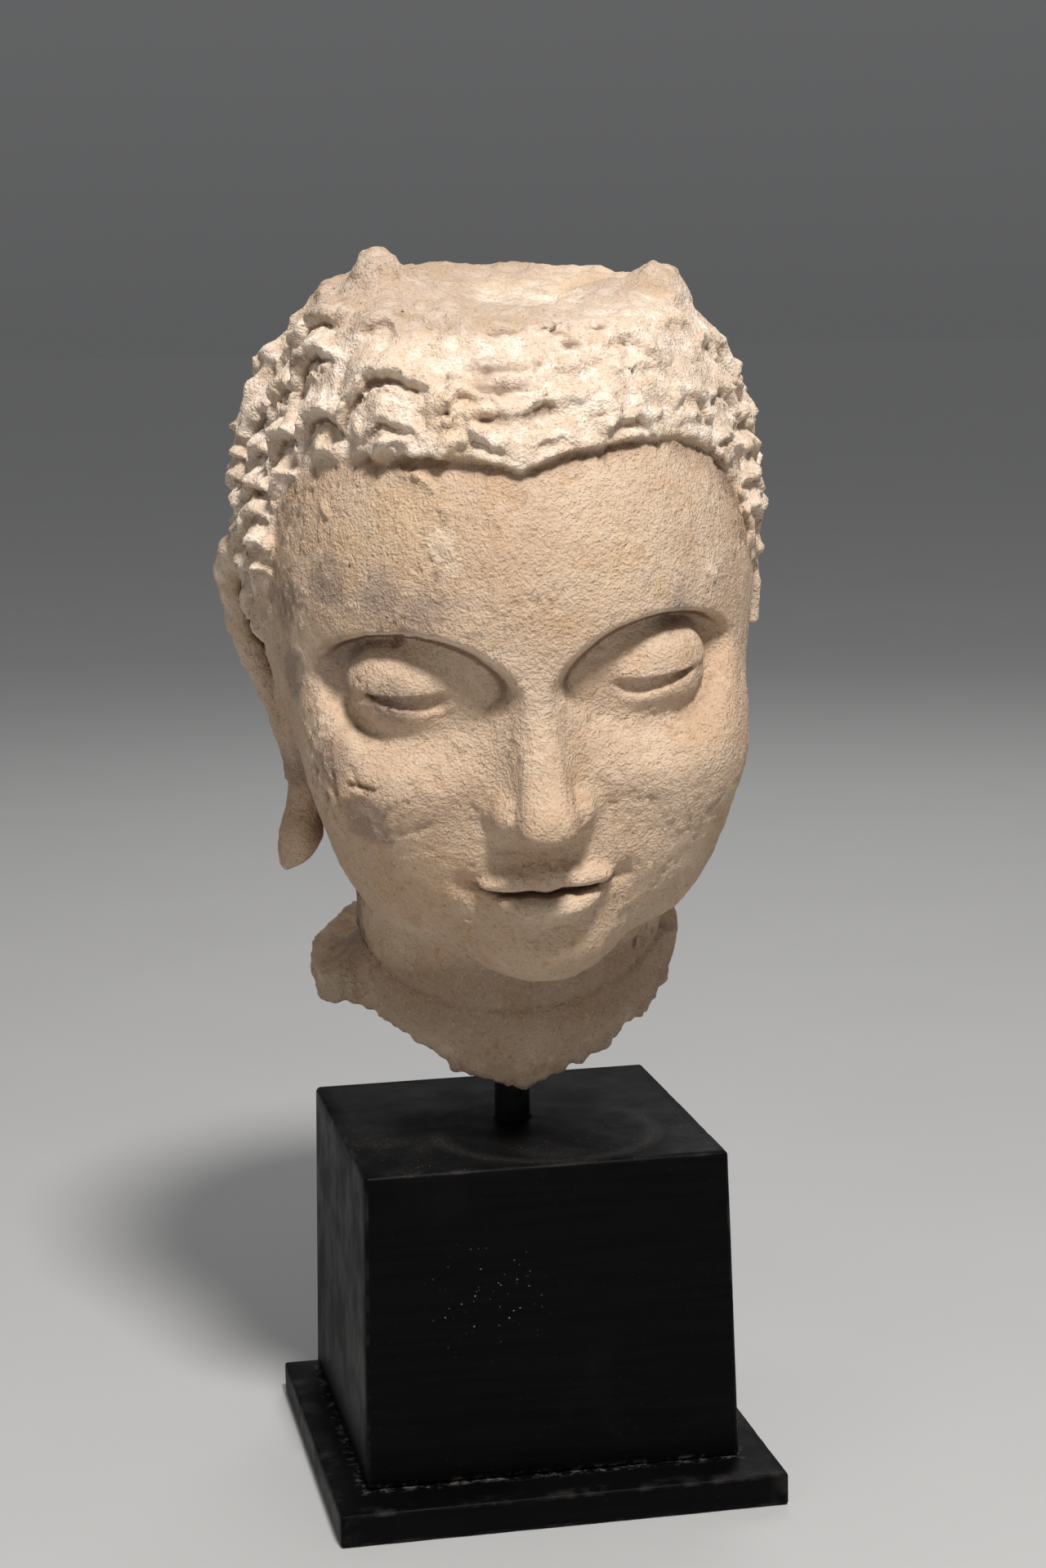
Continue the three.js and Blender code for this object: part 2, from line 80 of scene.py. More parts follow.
def noise(x, y, z, s, seed=0):
    x = (x / s + (seed * 11.7 + 164.3)).astype(f32)
    y = (y / s + (seed * 5.3 + 171.9)).astype(f32)
    z = (z / s + (seed * 7.9 + 158.1)).astype(f32)
    xi, yi, zi = np.floor(x).astype(np.int32), np.floor(y).astype(np.int32), np.floor(z).astype(np.int32)
    fx, fy, fz = x - xi, y - yi, z - zi
    fx, fy, fz = fx * fx * (3 - 2 * fx), fy * fy * (3 - 2 * fy), fz * fz * (3 - 2 * fz)
    x0, x1 = (xi & 63) << 12, ((xi + 1) & 63) << 12
    y0, y1 = (yi & 63) << 6, ((yi + 1) & 63) << 6
    z0, z1 = zi & 63, (zi + 1) & 63
    t = _table
    a = t[x0 + y0 + z0] * (1 - fx) + t[x1 + y0 + z0] * fx
    b = t[x0 + y1 + z0] * (1 - fx) + t[x1 + y1 + z0] * fx
    c = t[x0 + y0 + z1] * (1 - fx) + t[x1 + y0 + z1] * fx
    d = t[x0 + y1 + z1] * (1 - fx) + t[x1 + y1 + z1] * fx
    return (a * (1 - fy) + b * fy) * (1 - fz) + (c * (1 - fy) + d * fy) * fz


def ell(x, y, z, c, r):
    X, Y, Z = (x - c[0]) / r[0], (y - c[1]) / r[1], (z - c[2]) / r[2]
    k0 = np.sqrt(X * X + Y * Y + Z * Z)
    k1 = np.sqrt((X / r[0]) ** 2 + (Y / r[1]) ** 2 + (Z / r[2]) ** 2) + 1e-9
    return k0 * (k0 - 1) / k1


def smin(a, b, k):
    h = np.clip(0.5 + 0.5 * (b - a) / k, 0, 1)
    return b + (a - b) * h - k * h * (1 - h)


def smax(a, b, k):
    return -smin(-a, -b, k)


def sst(a, b, x):
    t = np.clip((x - a) / (b - a), 0, 1)
    return t * t * (3 - 2 * t)


def bell(v, s):
    return np.exp(-(v / s) ** 2)


def capsule(x, y, z, a, b, ra, rb):
    dx, dy, dz = b[0] - a[0], b[1] - a[1], b[2] - a[2]
    h = np.clip(((x - a[0]) * dx + (y - a[1]) * dy + (z - a[2]) * dz) / (dx * dx + dy * dy + dz * dz), 0, 1)
    X, Y, Z = x - a[0] - dx * h, y - a[1] - dy * h, z - a[2] - dz * h
    return np.sqrt(X * X + Y * Y + Z * Z) - (ra + (rb - ra) * h)


def wob(a, b, c=0.0):
    return (np.sin(a * 0.31 + 1.3 + c) + 0.7 * np.sin(a * 0.67 - b * 0.23 + c * 2 + 0.5)
            + 0.6 * np.sin(b * 0.49 + a * 0.17 + 2.1 * c) + 0.4 * np.sin(a * 1.21 + b * 0.9 + c)) / 2.7


# ------------------------------------------------------------------ the head: face in thirds, chin to hair edge 150 mm
CHIN_Z = -75.0
THIRD = 50.0
MOUTH_Z = CHIN_Z + 0.655 * THIRD
EYE = (27.0, -52.0, 9.0)


def face(x, y, z):
    ax = np.abs(x)
    front = np.where(y < 0, 1.0, 0.0)
    fore = np.where(y < -50, 1.0, 0.0)
    b = ell(x, y, z, (0, 8, 28), (67, 84, 76))
    b = smin(b, ell(x, y, z, (0, -4, -2), (60.5, 72, 76)), 18)
    b = smin(b, ell(ax, y, z, (31.5, -44, -17), (24, 24, 25)), 20)
    b = smin(b, ell(ax, y, z, (25, -25, -45), (22, 36, 24)), 20)
    b = smin(b, ell(x, y, z, (0, -54, -38), (26, 21.5, 19)), 14)
    b = smin(b, ell(x, y, z, (0, -56.5, -59.5), (19.5, 19, 15)), 14)
    # hollow under the arc of the brow
    rho = np.sqrt(((ax - 30.5) / 29.0) ** 2 + ((z - 3) / 24.0) ** 2)
    side = 1 - sst(42, 58, ax)
    crisp = 0.3 + 0.55 * sst(-4, 14, z)
    t = np.clip((rho - crisp) / (1.04 - crisp), 0, 1)
    t = t * t * (3 - 2 * t)
    b = b + (1 - t) * sst(-22, 4, z) * front * (7.5 * side + 1.2 * (1 - side))
    # eye with lowered lids
    ex, ey, ez = EYE
    u = (ax - ex) / 15.5
    zu = 10.0 + 0.8 * u * u - 0.8 * u
    zl = 5.6 + 5.0 * u * u - 0.8 * u
    eye = ell(ax, y, z, (ex, ey, ez - 0.6), (17.0, 13.8, 13.6))
    eye = smin(eye, smax(ell(ax, y, z, (ex, ey, ez + 0.4), (20.0, 16.4, 15.2)), zu - z, 0.8), 0.7)
    eye = smin(eye, smax(ell(ax, y, z, (ex, ey, ez - 1.4), (19.4, 15.5, 13.6)), z - zl, 0.8), 0.7)
    b = smin(b, eye, 2.6)
    # nose
    tz, ty = -19.5, -93.5
    rz, ry = 16.0, -75.0
    L = math.hypot(tz - rz, ty - ry)
    dfront = (y - ty) * -(rz - tz) / L + (z - tz) * -(ty - ry) / L
    hw = 3.1 + 2.1 * sst(14, -20, z)
    dside = (ax - hw - 0.34 * np.maximum(0, -dfront)) * 0.945
    dbot = (-(z + 23.0) - 0.16 * (y + 92)) * 0.987
    n = smax(smax(dfront, dside, 3.2), dbot, 3.5)
    n = smax(smax(n, z - 32, 8), y + 60, 2)
    n = smin(n, ell(x, y, z, (0, -87.5, -19.2), (6.2, 7.2, 5.8)), 4.5)
    n = smin(n, ell(ax, y, z, (8.4, -77.0, -20.2), (5.0, 8.2, 5.6)), 3.0)
    b = smin(b, n, 5.0)
    b = smax(b, -ell(ax, y, z, (4.6, -82.0, -27.4), (2.4, 4.6, 2.8)), 1.6)
    # lips
    zm = MOUTH_Z + 0.9 * (ax / 20) ** 2 - 0.8 * bell(x, 3.0)
    up = ell(ax, y, z + 0.15 * ax, (6.2, -74.0, -37.8), (12.2, 6.4, 4.1))
    up = smin(up, ell(x, y, z, (0, -74.6, -39.8), (4.6, 5.6, 3.2)), 2.5)
    lips = smin(up, ell(x, y, z - 0.012 * x * x, (0, -73.6, -46.8), (14.6, 8.8, 5.1)), 0.8)
    b = smin(b, lips, 1.8)
    b = smax(b, -ell(x, y, z - 0.008 * x * x, (0, -80.8, -55.6), (15.0, 5.4, 3.6)), 3.0)
    b = b + 2.2 * bell(z - zm, 1.1) * (1 - sst(15.5, 21.0, ax)) * fore
    b = b + 1.6 * np.exp(-((ax - 20.5) ** 2 + (z - zm - 0.2) ** 2) / 3.2 ** 2) * fore
    return b


def neck(x, y, z):
    n = capsule(x, y, z, (-2, 4, -50), (-6, 6, -140), 43.5, 45.0)
    q = np.sqrt(((x + 8.5) / 53.0) ** 2 + ((y - 7.0) / 51.0) ** 2)
    fl = smax((q - 1) * 52 + 1.6 * noise(x, y, z, 9.0, 33), z + 88.5 - 0.06 * np.maximum(x, 0) + 1.3 * wob(x, y, 0.4), 2.4)
    fl = smax(fl, -(y + 8.0), 5.0)
    n = smin(n, fl, 6.0)
    zc = -92 + 0.0046 * (x + 4) ** 2
    n = n + (0.9 * bell(z - zc, 1.2) - 0.5 * bell(z - zc + 3.6, 2.6)) * np.where(y < 12, 1.0, 0.0)
    return n


RIM = [(60, 2, 8), (64, 3.5, 18), (69, 8.5, 28), (73.6, 14, 30), (75.2, 18, 22), (73.6, 19, 8), (70.2, 18, -3),
       (66, 16, -12), (62.6, 13, -23), (60.4, 9, -34), (59, 6, -42)]
RIM_R = [3.4, 3.6, 3.8, 4, 4, 3.8, 3.7, 3.6, 3.7, 4, 4.4]
FOLD = [(62, 5, 0), (62.5, 8, -11), (60.5, 8.5, -22), (58.5, 7, -33)]


def ear(x, y, z, side):
    X = x * side
    e = None
    for a, b, ra, rb in zip(RIM[:-1], RIM[1:], RIM_R[:-1], RIM_R[1:]):
        c = capsule(X, y, z, a, b, ra, rb)
        e = c if e is None else smin(e, c, 1.6)
    for a, b in zip(FOLD[:-1], FOLD[1:]):
        e = smin(e, capsule(X, y, z, a, b, 2.9, 2.9), 1.6)
    e = smin(e, ell(X, y, z, (59.5, 11, 2), (5.0, 11, 26)), 2.2)
    lobe = capsule(X, y, z, (58.4, 5, -38), (61, 3, -50), 4.6, 5.4)
    lobe = smin(lobe, ell(X, y, z, (61.6, 2.6, -52.0), (5.6, 8.4, 9.6)), 3)
    lobe = smin(lobe, ell(X, y, z, (64.6, 2.2, -57.0), (3.6, 5.5, 6.4)), 3)
    # the lobe ends in a slanting edge, lowest at its outer corner
    lobe = smax(lobe, (-62.0 + 0.72 * (68.0 - X) - z) * 0.81, 1.8)
    return smin(e, lobe, 3.5)


# hair in 24 columns of wave-like locks that run from the hair edge back over the head; their pole is tilted backwards
TILT = math.radians(38.0)
LOCK_R = 84.0
MAP_TH, MAP_AL, MAP_STEP = 1200, 560, 0.3

# column centre (deg) -> (distance from the pole in deg, half width mm, height mm, depth of the hollow mm, inner waves)
LOCKS = {
    -8: [(93.6, 7.6, 3.4, 1.4, 2), (86.0, 8.0, 2.8, 1.3, 1), (79.0, 7.0, 0.9, 0.3, 0), (72.0, 8.0, 0.9, 0.3, 0), (59.0, 8.0, 0.8, 0.3, 0)],
    7: [(94.5, 8.5, 1.6, 0.5, 1), (87.0, 8.0, 1.5, 0.5, 0), (80.5, 7.0, 0.8, 0.3, 0), (73.0, 7.0, 1.1, 0.3, 0), (58.0, 9.0, 0.7, 0.2, 0)],
    -23: [(91.8, 7.5, 3.4, 2.2, 0), (87.2, 9.0, 3.0, 1.5, 0), (78.6, 12.6, 5.0, 3.0, 1), (67.0, 5.0, 2.4, 1.0, 0), (58.2, 9.2, 6.6, 3.4, 0)],
    -40: [(92.0, 11.5, 3.2, 0.8, 1), (86.0, 7.5, 3.2, 1.6, 1), (78.0, 9.0, 4.6, 2.8, 0), (66.0, 8.2, 4.8, 2.8, 1), (58.5, 8.2, 4.4, 1.8, 0), (48.0, 8.0, 1.6, 0.6, 0)],
    -53: [(101.0, 6.0, 2.6, 1.5, 0), (94.0, 6.4, 4.8, 2.8, 0), (89.6, 6.4, 4.3, 2.0, 0), (84.6, 7.2, 4.2, 1.8, 0), (76.0, 8.0, 4.4, 2.4, 1), (65.0, 8.2, 3.8, 1.8, 1), (54.5, 8.0, 3.0, 1.2, 0)],
    -68: [(111.0, 6.0, 2.6, 1.4, 0), (105.0, 6.5, 2.6, 1.5, 0), (99.5, 6.5, 3.4, 2.0, 0), (93.5, 7.5, 3.8, 2.2, 1), (86.5, 7.8, 4.2, 2.4, 0), (80.0, 8.5, 4.6, 2.6, 1), (71.5, 8.5, 4.4, 2.4, 1), (62.0, 8.5, 3.8, 1.8, 0), (52.0, 8.0, 2.4, 1.0, 0)],
    -83: [(112.0, 7.0, 2.8, 1.4, 0), (105.5, 7.5, 3.2, 1.6, 0), (99.0, 8.0, 3.6, 1.8, 1), (91.5, 8.5, 3.8, 2.0, 0), (84.5, 8.5, 4.0, 2.2, 1), (77.0, 8.5, 4.2, 2.4, 0), (72.2, 8.5, 4.2, 2.2, 0), (67.4, 8.5, 4.0, 2.0, 0), (62.0, 8.0, 4.2, 2.0, 0), (53.0, 8.0, 2.6, 1.0, 0)],
    22: [(89.6, 9.2, 3.2, 1.6, 2), (80.5, 7.0, 0.8, 0.3, 0), (74.0, 8.2, 2.8, 1.6, 0), (67.0, 7.0, 1.0, 0.4, 0), (59.0, 8.0, 1.6, 0.6, 0)],
    38: [(97.0, 8.0, 1.6, 0.6, 0), (90.4, 7.6, 2.2, 0.9, 0), (85.6, 8.0, 2.3, 0.9, 0), (81.4, 8.6, 2.8, 1.1, 0), (66.0, 8.5, 1.9, 0.8, 0), (55.0, 8.0, 1.4, 0.5, 0)],
    51: [(105.0, 6.5, 2.0, 0.9, 0), (99.8, 6.8, 2.3, 1.1, 0), (95.0, 7.0, 2.8, 1.2, 0), (85.0, 8.0, 2.4, 1.1, 1), (75.5, 8.2, 2.6, 1.2, 1), (64.5, 8.2, 2.0, 0.9, 0), (54.0, 8.0, 1.4, 0.5, 0)],
    66: [(109.0, 7.0, 2.2, 1.0, 0), (102.0, 7.2, 2.5, 1.1, 0), (95.0, 7.8, 2.6, 1.2, 0), (88.0, 8.0, 2.8, 1.2, 1), (81.0, 8.2, 3.0, 1.3, 0), (74.5, 8.2, 3.0, 1.3, 0), (68.0, 8.2, 2.8, 1.1, 0), (57.0, 8.0, 1.8, 0.7, 0)],
}


def lock_map():
    """Height of the hair over its base, in mm, on a grid of azimuth and distance from the pole."""
    rs = np.random.RandomState(5)
    crest = np.zeros((MAP_AL, MAP_TH), f32)
    hollow_ = np.zeros((MAP_AL, MAP_TH), f32)
    th = (np.arange(MAP_TH) + 0.5) * MAP_STEP - 180.0
    al = (np.arange(MAP_AL) + 0.5) * MAP_STEP
    cols = dict(LOCKS)
    k = 0
    for c in range(82, 82 + 15 * 13, 15):
        rows, a, k = [], 48.0 + 5.5 * (k % 2), k + 1
        while a < 150:
            soft = 0.78 if 110 < c < 250 else 0.9
            rows.append((a, 8.4, (3.4 + rs.uniform(-0.5, 0.5)) * soft, 1.7 * soft, int(rs.rand() < 0.5)))
            a += rs.uniform(8.6, 11.5)
        cols[c if c < 180 else c - 360] = rows

    def stamp(c, a0, W, A, B, drop, Lu, ph):
        ra = math.degrees((Lu + 4) / LOCK_R)
        rb = math.degrees((drop + 14) / LOCK_R)
        i0, i1 = max(0, int((a0 - ra) / MAP_STEP)), min(MAP_AL, int((a0 + rb) / MAP_STEP))
        aa = np.radians(al[i0:i1])[:, None]
        dt = (th[None, :] - c + 180.0) % 360.0 - 180.0
        j = np.abs(dt[0]) < math.degrees((W + 4) / (LOCK_R * math.sin(math.radians(max(a0, 25)))))
        u = np.radians(dt[:, j]) * np.sin(aa) * LOCK_R
        v = (aa - math.radians(a0)) * LOCK_R + 0 * u
        v = v + 0.55 * np.sin(u * 0.9 + ph) + 0.35 * np.sin(u * 2.1 + ph * 2.3)
        d = v - drop * (np.abs(u) / W) ** 1.45
        side = 1 - sst(0.78, 1.14, np.abs(u) / W)
        ridge = np.where(d < 0, np.clip(1 + d / Lu, 0, 1) ** 1.5, 1 - sst(0, 1.3, d))
        high = A * side * ridge * (1 - 0.30 * (u / W) ** 2) * (1 + 0.15 * np.sin(u * 0.7 + ph * 1.7))
        low = B * sst(0.0, 1.2, d) * (1 - sst(2.0, 9.0, d)) * (1 - sst(0.45, 1.0, np.abs(u) / W))
        jj = np.nonzero(j)[0]
        crest[i0:i1, jj] = np.maximum(crest[i0:i1, jj], high)
        hollow_[i0:i1, jj] = np.maximum(hollow_[i0:i1, jj], low)

    for c, rows in cols.items():
        for a0, W, A, B, inner in rows:
            ph = rs.uniform(0, 6.28)
            Lu = 11.5 if A > 1.2 else 5.0
            A, B, W = 0.80 * A, 0.45 * B, (1.18 if -30 < c < 45 else 1.40) * W
            stamp(c, a0, W, A, B, 0.64 * W, Lu, ph)
            for n in range(inner + (1 if A > 2.6 else 0)):
                s = 0.78 - 0.17 * n
                stamp(c, a0 + math.degrees((3.9 + 2.9 * n) / LOCK_R), W * s, 1.1 + 0.16 * A - 0.15 * n, 0.35 * B, 0.62 * W * s, 2.8, ph + 1 + n)
    # the rounded body of each column and the groove between columns
    centres = sorted(cols)
    edge = np.array([(centres[i] + centres[i - 1] + (360 if i == 0 else 0)) / 2.0 - (360 if i == 0 else 0) for i in range(len(centres))])
    bend = 2.2 * np.sin(al * 0.31 + 0.7) + 1.3 * np.sin(al * 0.83 + 2.0)
    dist = np.min(np.abs((th[None, :, None] + bend[:, None, None] - edge[None, None, :] + 180) % 360 - 180), 2)
    dmm = np.radians(dist) * np.sin(np.radians(al))[:, None] * LOCK_R
    left = sst(2, -38, th)[None, :]
    right = sst(28, 60, th)[None, :]
    amount = np.clip(0.10 + 0.9 * left + 0.5 * right, 0, 1)
    body = (0.9 * sst(0, 7, dmm) - 0.65 * bell(dmm, 1.6)) * amount * sst(42, 60, al)[:, None]
    return (crest - hollow_ + body).astype(f32)


HAIR_MAP = lock_map()


def lock_height(x, y, z):
    Y, Z = y - 9.0, z - 26.0
    c, s = math.cos(TILT), math.sin(TILT)
    Y, Z = Y * c - Z * s, Y * s + Z * c
    r = np.sqrt(x * x + Y * Y + Z * Z) + 1e-6
    al = np.degrees(np.arccos(np.clip(Z / r, -1, 1)))
    th = np.degrees(np.arctan2(x, -Y))
    wt = 0.8 * noise(x, y, z, 7.0, 11) + 0.22 * noise(x, y, z, 2.7, 12)
    wa = 0.8 * noise(x, y, z, 7.0, 13) + 0.22 * noise(x, y, z, 2.7, 14)
    i = np.clip(al / MAP_STEP - 0.5 + wa * 1.7, 0, MAP_AL - 1.001)
    j = th / MAP_STEP + MAP_TH / 2 - 0.5 + wt * 1.7 / np.maximum(np.sin(np.radians(al)), 0.3)
    i0, j0 = np.floor(i).astype(int), np.floor(j).astype(int)
    fi, fj = i - i0, j - j0
    a0, a1 = j0 % MAP_TH, (j0 + 1) % MAP_TH
    h = (HAIR_MAP[i0, a0] * (1 - fj) + HAIR_MAP[i0, a1] * fj) * (1 - fi) \
        + (HAIR_MAP[i0 + 1, a0] * (1 - fj) + HAIR_MAP[i0 + 1, a1] * fj) * fi
    return h, th, al


def dome(x, y, z):
    zz = z - 40.0
    rz = np.where(zz > 0, 69.0, 112.0)
    X, Y, Z = (x - 0.5) / 72.0, (y - 9.0) / 88.0, zz / rz
    k0 = np.sqrt(X * X + Y * Y + Z * Z)
    k1 = np.sqrt((X / 72.0) ** 2 + (Y / 88.0) ** 2 + (Z / rz) ** 2) + 1e-9
    side = X * X / np.sqrt(X * X + Y * Y + 0.01)
    return k0 * (k0 - 1) / k1 - (8.0 + 5.0 * sst(10, -30, x)) * np.clip(Z, 0, 1) * side


def edge_of_hair(x, z):
    """Distance in mm outside the line where the hair meets the forehead, a double arc with a dip in the middle."""
    ax = np.abs(x)
    zr = 68.3 - 4.6 * np.exp(-ax / 9.0)
    zp = np.maximum(z - 2, 0)
    return ((ax / 65.0) ** 3.7 + (zp / zr) ** 3.7 + 1e-9) ** (1 / 3.7) * 62 - 62


def hair_end(y):
    """Height where the hair stops: by the ear in front, lower behind it."""
    return np.maximum(0.0 - 5.0 * sst(-4, 12, y) - 1.1 * np.maximum(y - 22, 0), -50)


def hair(x, y, z):
    h, th, al = lock_height(x, y, z)
    g = edge_of_hair(x, z) + (0.35 + 0.65 * sst(4, -38, x)) * (0.9 * noise(x, y, z, 4.6, 27) + 0.4 * noise(x, y, z, 2.2, 28))
    on = np.where(y < 24, 0.28 + 0.72 * sst(0, 5.0, g), 1.0)
    # crown and front centre are worn nearly smooth, with faint ripples left across them
    ripple = noise(x * 0.45, y * 0.8, z * 1.6, 3.4, 21) * 1.3 + noise(x * 0.4, y, z * 1.6, 6.5, 22) * 1.3
    centre = bell(th - 6, 26) * sst(99, 90, al)
    crack = sst(0.20, 0.0, np.abs(noise(x * 0.42, y * 0.8, z * 1.3, 5.0, 25))) * 0.9 + sst(0.16, 0.0, np.abs(noise(x, y, z, 6.0, 26))) * 0.5
    ripple = ripple - crack
    base = 0.9 * ripple * np.clip(0.25 + 0.75 * centre + 0.4 * sst(70, 50, al), 0, 1)
    temple = sst(22, 50, np.abs(x))
    rim = 0.9 * bell(g - 1.2, 1.4) * np.where(y < 10, 1.0, 0.0) * (1 - 0.7 * temple)
    gg = np.maximum(g, 0)
    skull = ell(x, y, z, (0, 8, 28), (67, 84, 76)) - (2.3 - 0.8 * temple + 0.42 * gg + 40 * sst(12, 30, y))
    f = smax(dome(x, y, z) + 0.5, skull, 3.0) - (h * on + rim) - base * (0.55 + 0.6 * centre)
    f = f + 0.42 * noise(x, y, z, 5.2, 23) + 0.26 * noise(x, y, z, 2.6, 24) + 1.3 * sst(45, 12, z) * sst(45, 62, x) + 3.0 * sst(-32, -56, x) * sst(60, 30, y) * sst(34, 62, z)
    f = smax(f, np.where(y < 34, -g, -30), 1.5)
    return smax(f, hair_end(y) - z + 1.5 * wob(y, x, 1.0), 3.0)


BREAK_X = [-70, -56, -48, -42, -34, -25, -16, -10, -4.5, 0, 8, 17, 27, 33, 38, 48, 60]
BREAK_Z = [-98.0, -101.4, -103.0, -103.4, -107.2, -110.0, -114.4, -115.6, -116.0, -115.0, -112.0, -108.6, -106.6, -104.2, -100.8, -95.0, -88.0]


def head(x, y, z):
    b = face(x, y, z)
    b = smin(b, neck(x, y, z), 4.5)
    b = smin(b, hair(x, y, z), 1.3)
    b = smin(b, ear(x, y, z, -1), 1.8)
    b = smin(b, smax(smax(ear(x, y, z, 1), -4 - z + 0.15 * (y - 16), 2.5), x - 73.5 + 0.8 * noise(x, y, z, 5.0, 37), 2.0), 1.8)
    rr = np.sqrt((x - 4) ** 2 + (y - 12) ** 2)
    zt = 97.6 - 0.05 * x + 1.6 * sst(8, -34, x) - 0.01 * (y - 10) - 2.0 * (1 - sst(0, 38, rr)) + 0.8 * wob(x, y, 3.0) + 0.9 * noise(x, y, z, 7.0, 35) + 0.5 * noise(x, y, z, 3.0, 36)
    b = smax(b, z - zt, 1.8)
    b = smin(b, ell(x, y, z, (-28.6, 5, 99.2), (8.2, 11, 12.5)), 6)
    b = smin(b, ell(x, y, z, (-20.0, 1, 96.5), (9.0, 12, 6.0)), 5)
    b = smin(b, ell(x, y, z, (45.5, 6, 92.8), (8.2, 12, 9.6)), 5)
    b = smin(b, ell(x, y, z, (34, 5, 92.0), (10.0, 14, 5.5)), 5)
    # the break at the neck: a rough, layered edge, highest towards both sides
    drop = np.interp(x, BREAK_X, BREAK_Z).astype(f32)
    layer = 3.2 * noise(x, y, z * 0.5, 8.5, 31)
    layer = 0.55 * layer + 0.45 * np.round(layer / 1.5) * 1.5
    zb = drop + 0.075 * (y + 42) + layer + 1.3 * noise(x, y, z, 3.2, 32) + 0.6 * noise(x, y, z, 1.7, 34)
    b = smax(b, zb - z, 0.8)
    # blind socket for the rod, in the plinth's own direction
    p = np.stack([x, y, z], -1) @ HEAD_TURN.T.astype(f32) + HEAD_AT.astype(f32)
    s = smax(np.hypot(p[..., 0], p[..., 1] - ROD_Y) - (ROD_R + 0.35), p[..., 2] - (ROD_TOP + 0.4), 0.3)
    return smax(b, -s, 0.4)


# ------------------------------------------------------------------ surface from the field
def narrow(field, lo, hi, h, m=4):
    lo = np.array(lo, float)
    n = np.ceil((np.array(hi) - lo) / (h * m)).astype(int)
    H = h * m
    c = [lo[i] + (np.arange(n[i]) + 0.5) * H for i in range(3)]
    X, Y, Z = np.meshgrid(*c, indexing="ij")
    F0 = field(X.ravel().astype(f32), Y.ravel().astype(f32), Z.ravel().astype(f32)).reshape(X.shape)
    near = np.abs(F0) < H * 1.1 + 3.0
    full = n * m
    F = np.repeat(np.repeat(np.repeat(F0, m, 0), m, 1), m, 2).astype(f32)
    F = np.where(F > 0, 50.0, -50.0).astype(f32)
    cells = np.argwhere(near)
    o = np.stack(np.meshgrid(*[np.arange(m)] * 3, indexing="ij"), -1).reshape(-1, 3)
    for k in range(0, len(cells), 12000):
        idx = (cells[k:k + 12000, None, :] * m + o[None]).reshape(-1, 3)
        p = (lo + (idx + 0.5) * h).astype(f32)
        F[idx[:, 0], idx[:, 1], idx[:, 2]] = field(p[:, 0], p[:, 1], p[:, 2])
    return F, lo + 0.5 * h


def surface_nets(F, lo, h):
    s = F < 0
    n = np.array(F.shape)
    cs = s[:-1, :-1, :-1].astype(np.int8)
    tot = np.zeros(n - 1, np.int8)
    for a in (0, 1):
        for b in (0, 1):
            for c in (0, 1):
                tot += s[a:n[0] - 1 + a, b:n[1] - 1 + b, c:n[2] - 1 + c]
    act = (tot > 0) & (tot < 8)
    cells = np.argwhere(act)
    idm = np.full(n - 1, -1, np.int32)
    idm[act] = np.arange(len(cells))
    acc = np.zeros((len(cells), 3))
    cnt = np.zeros(len(cells))
    corner = [(a, b, c) for a in (0, 1) for b in (0, 1) for c in (0, 1)]
    vals = {q: F[cells[:, 0] + q[0], cells[:, 1] + q[1], cells[:, 2] + q[2]].astype(float) for q in corner}
    for q in corner:
        for ax in range(3):
            if q[ax] == 0:
                r = list(q); r[ax] = 1; r = tuple(r)
                a, b = vals[q], vals[r]
                hit = (a < 0) != (b < 0)
                t = np.where(hit, a / np.where(hit, a - b, 1), 0)
                p = np.repeat(np.array(q, float)[None], len(cells), 0)
                p[:, ax] = t
                acc += np.where(hit[:, None], p, 0)
                cnt += hit
    V = lo + (cells + acc / cnt[:, None]) * h
    quads = []
    for ax in range(3):
        sl0 = [slice(None)] * 3; sl1 = [slice(None)] * 3
        sl0[ax] = slice(0, -1); sl1[ax] = slice(1, None)
        a, b = s[tuple(sl0)], s[tuple(sl1)]
        e = np.argwhere(a != b)
        o1, o2 = [i for i in range(3) if i != ax]
        e = e[(e[:, o1] > 0) & (e[:, o2] > 0) & (e[:, o1] < n[o1] - 1) & (e[:, o2] < n[o2] - 1)]
        inside = a[e[:, 0], e[:, 1], e[:, 2]]

        def at(d1, d2):
            c = e.copy()
            c[:, o1] += d1
            c[:, o2] += d2
            return idm[c[:, 0], c[:, 1], c[:, 2]]
        q = np.stack([at(-1, -1), at(0, -1), at(0, 0), at(-1, 0)], 1)
        flip = (~inside) if ax != 1 else inside
        q[flip] = q[flip][:, ::-1]
        quads.append(q)
    return V, np.concatenate(quads)


def normals_of(V, Q):
    n = np.zeros_like(V)
    fn = np.cross(V[Q[:, 2]] - V[Q[:, 0]], V[Q[:, 3]] - V[Q[:, 1]]) if Q.shape[1] == 4 else \
        np.cross(V[Q[:, 1]] - V[Q[:, 0]], V[Q[:, 2]] - V[Q[:, 0]])
    for i in range(Q.shape[1]):
        for k in range(3):
            n[:, k] += np.bincount(Q[:, i], weights=fn[:, k], minlength=len(V))
    return n / (np.linalg.norm(n, axis=1)[:, None] + 1e-12)


def to_mesh(name, V, Q):
    me = bpy.data.meshes.new(name)
    me.vertices.add(len(V))
    me.vertices.foreach_set("co", V.astype(f32).ravel())
    k = Q.shape[1]
    me.loops.add(Q.size)
    me.loops.foreach_set("vertex_index", Q.astype(np.int32).ravel())
    me.polygons.add(len(Q))
    me.polygons.foreach_set("loop_start", (np.arange(len(Q)) * k).astype(np.int32))
    me.update(calc_edges=True)
    me.validate()
    return me


def smooth(me):
    me.polygons.foreach_set("use_smooth", np.ones(len(me.polygons), bool))


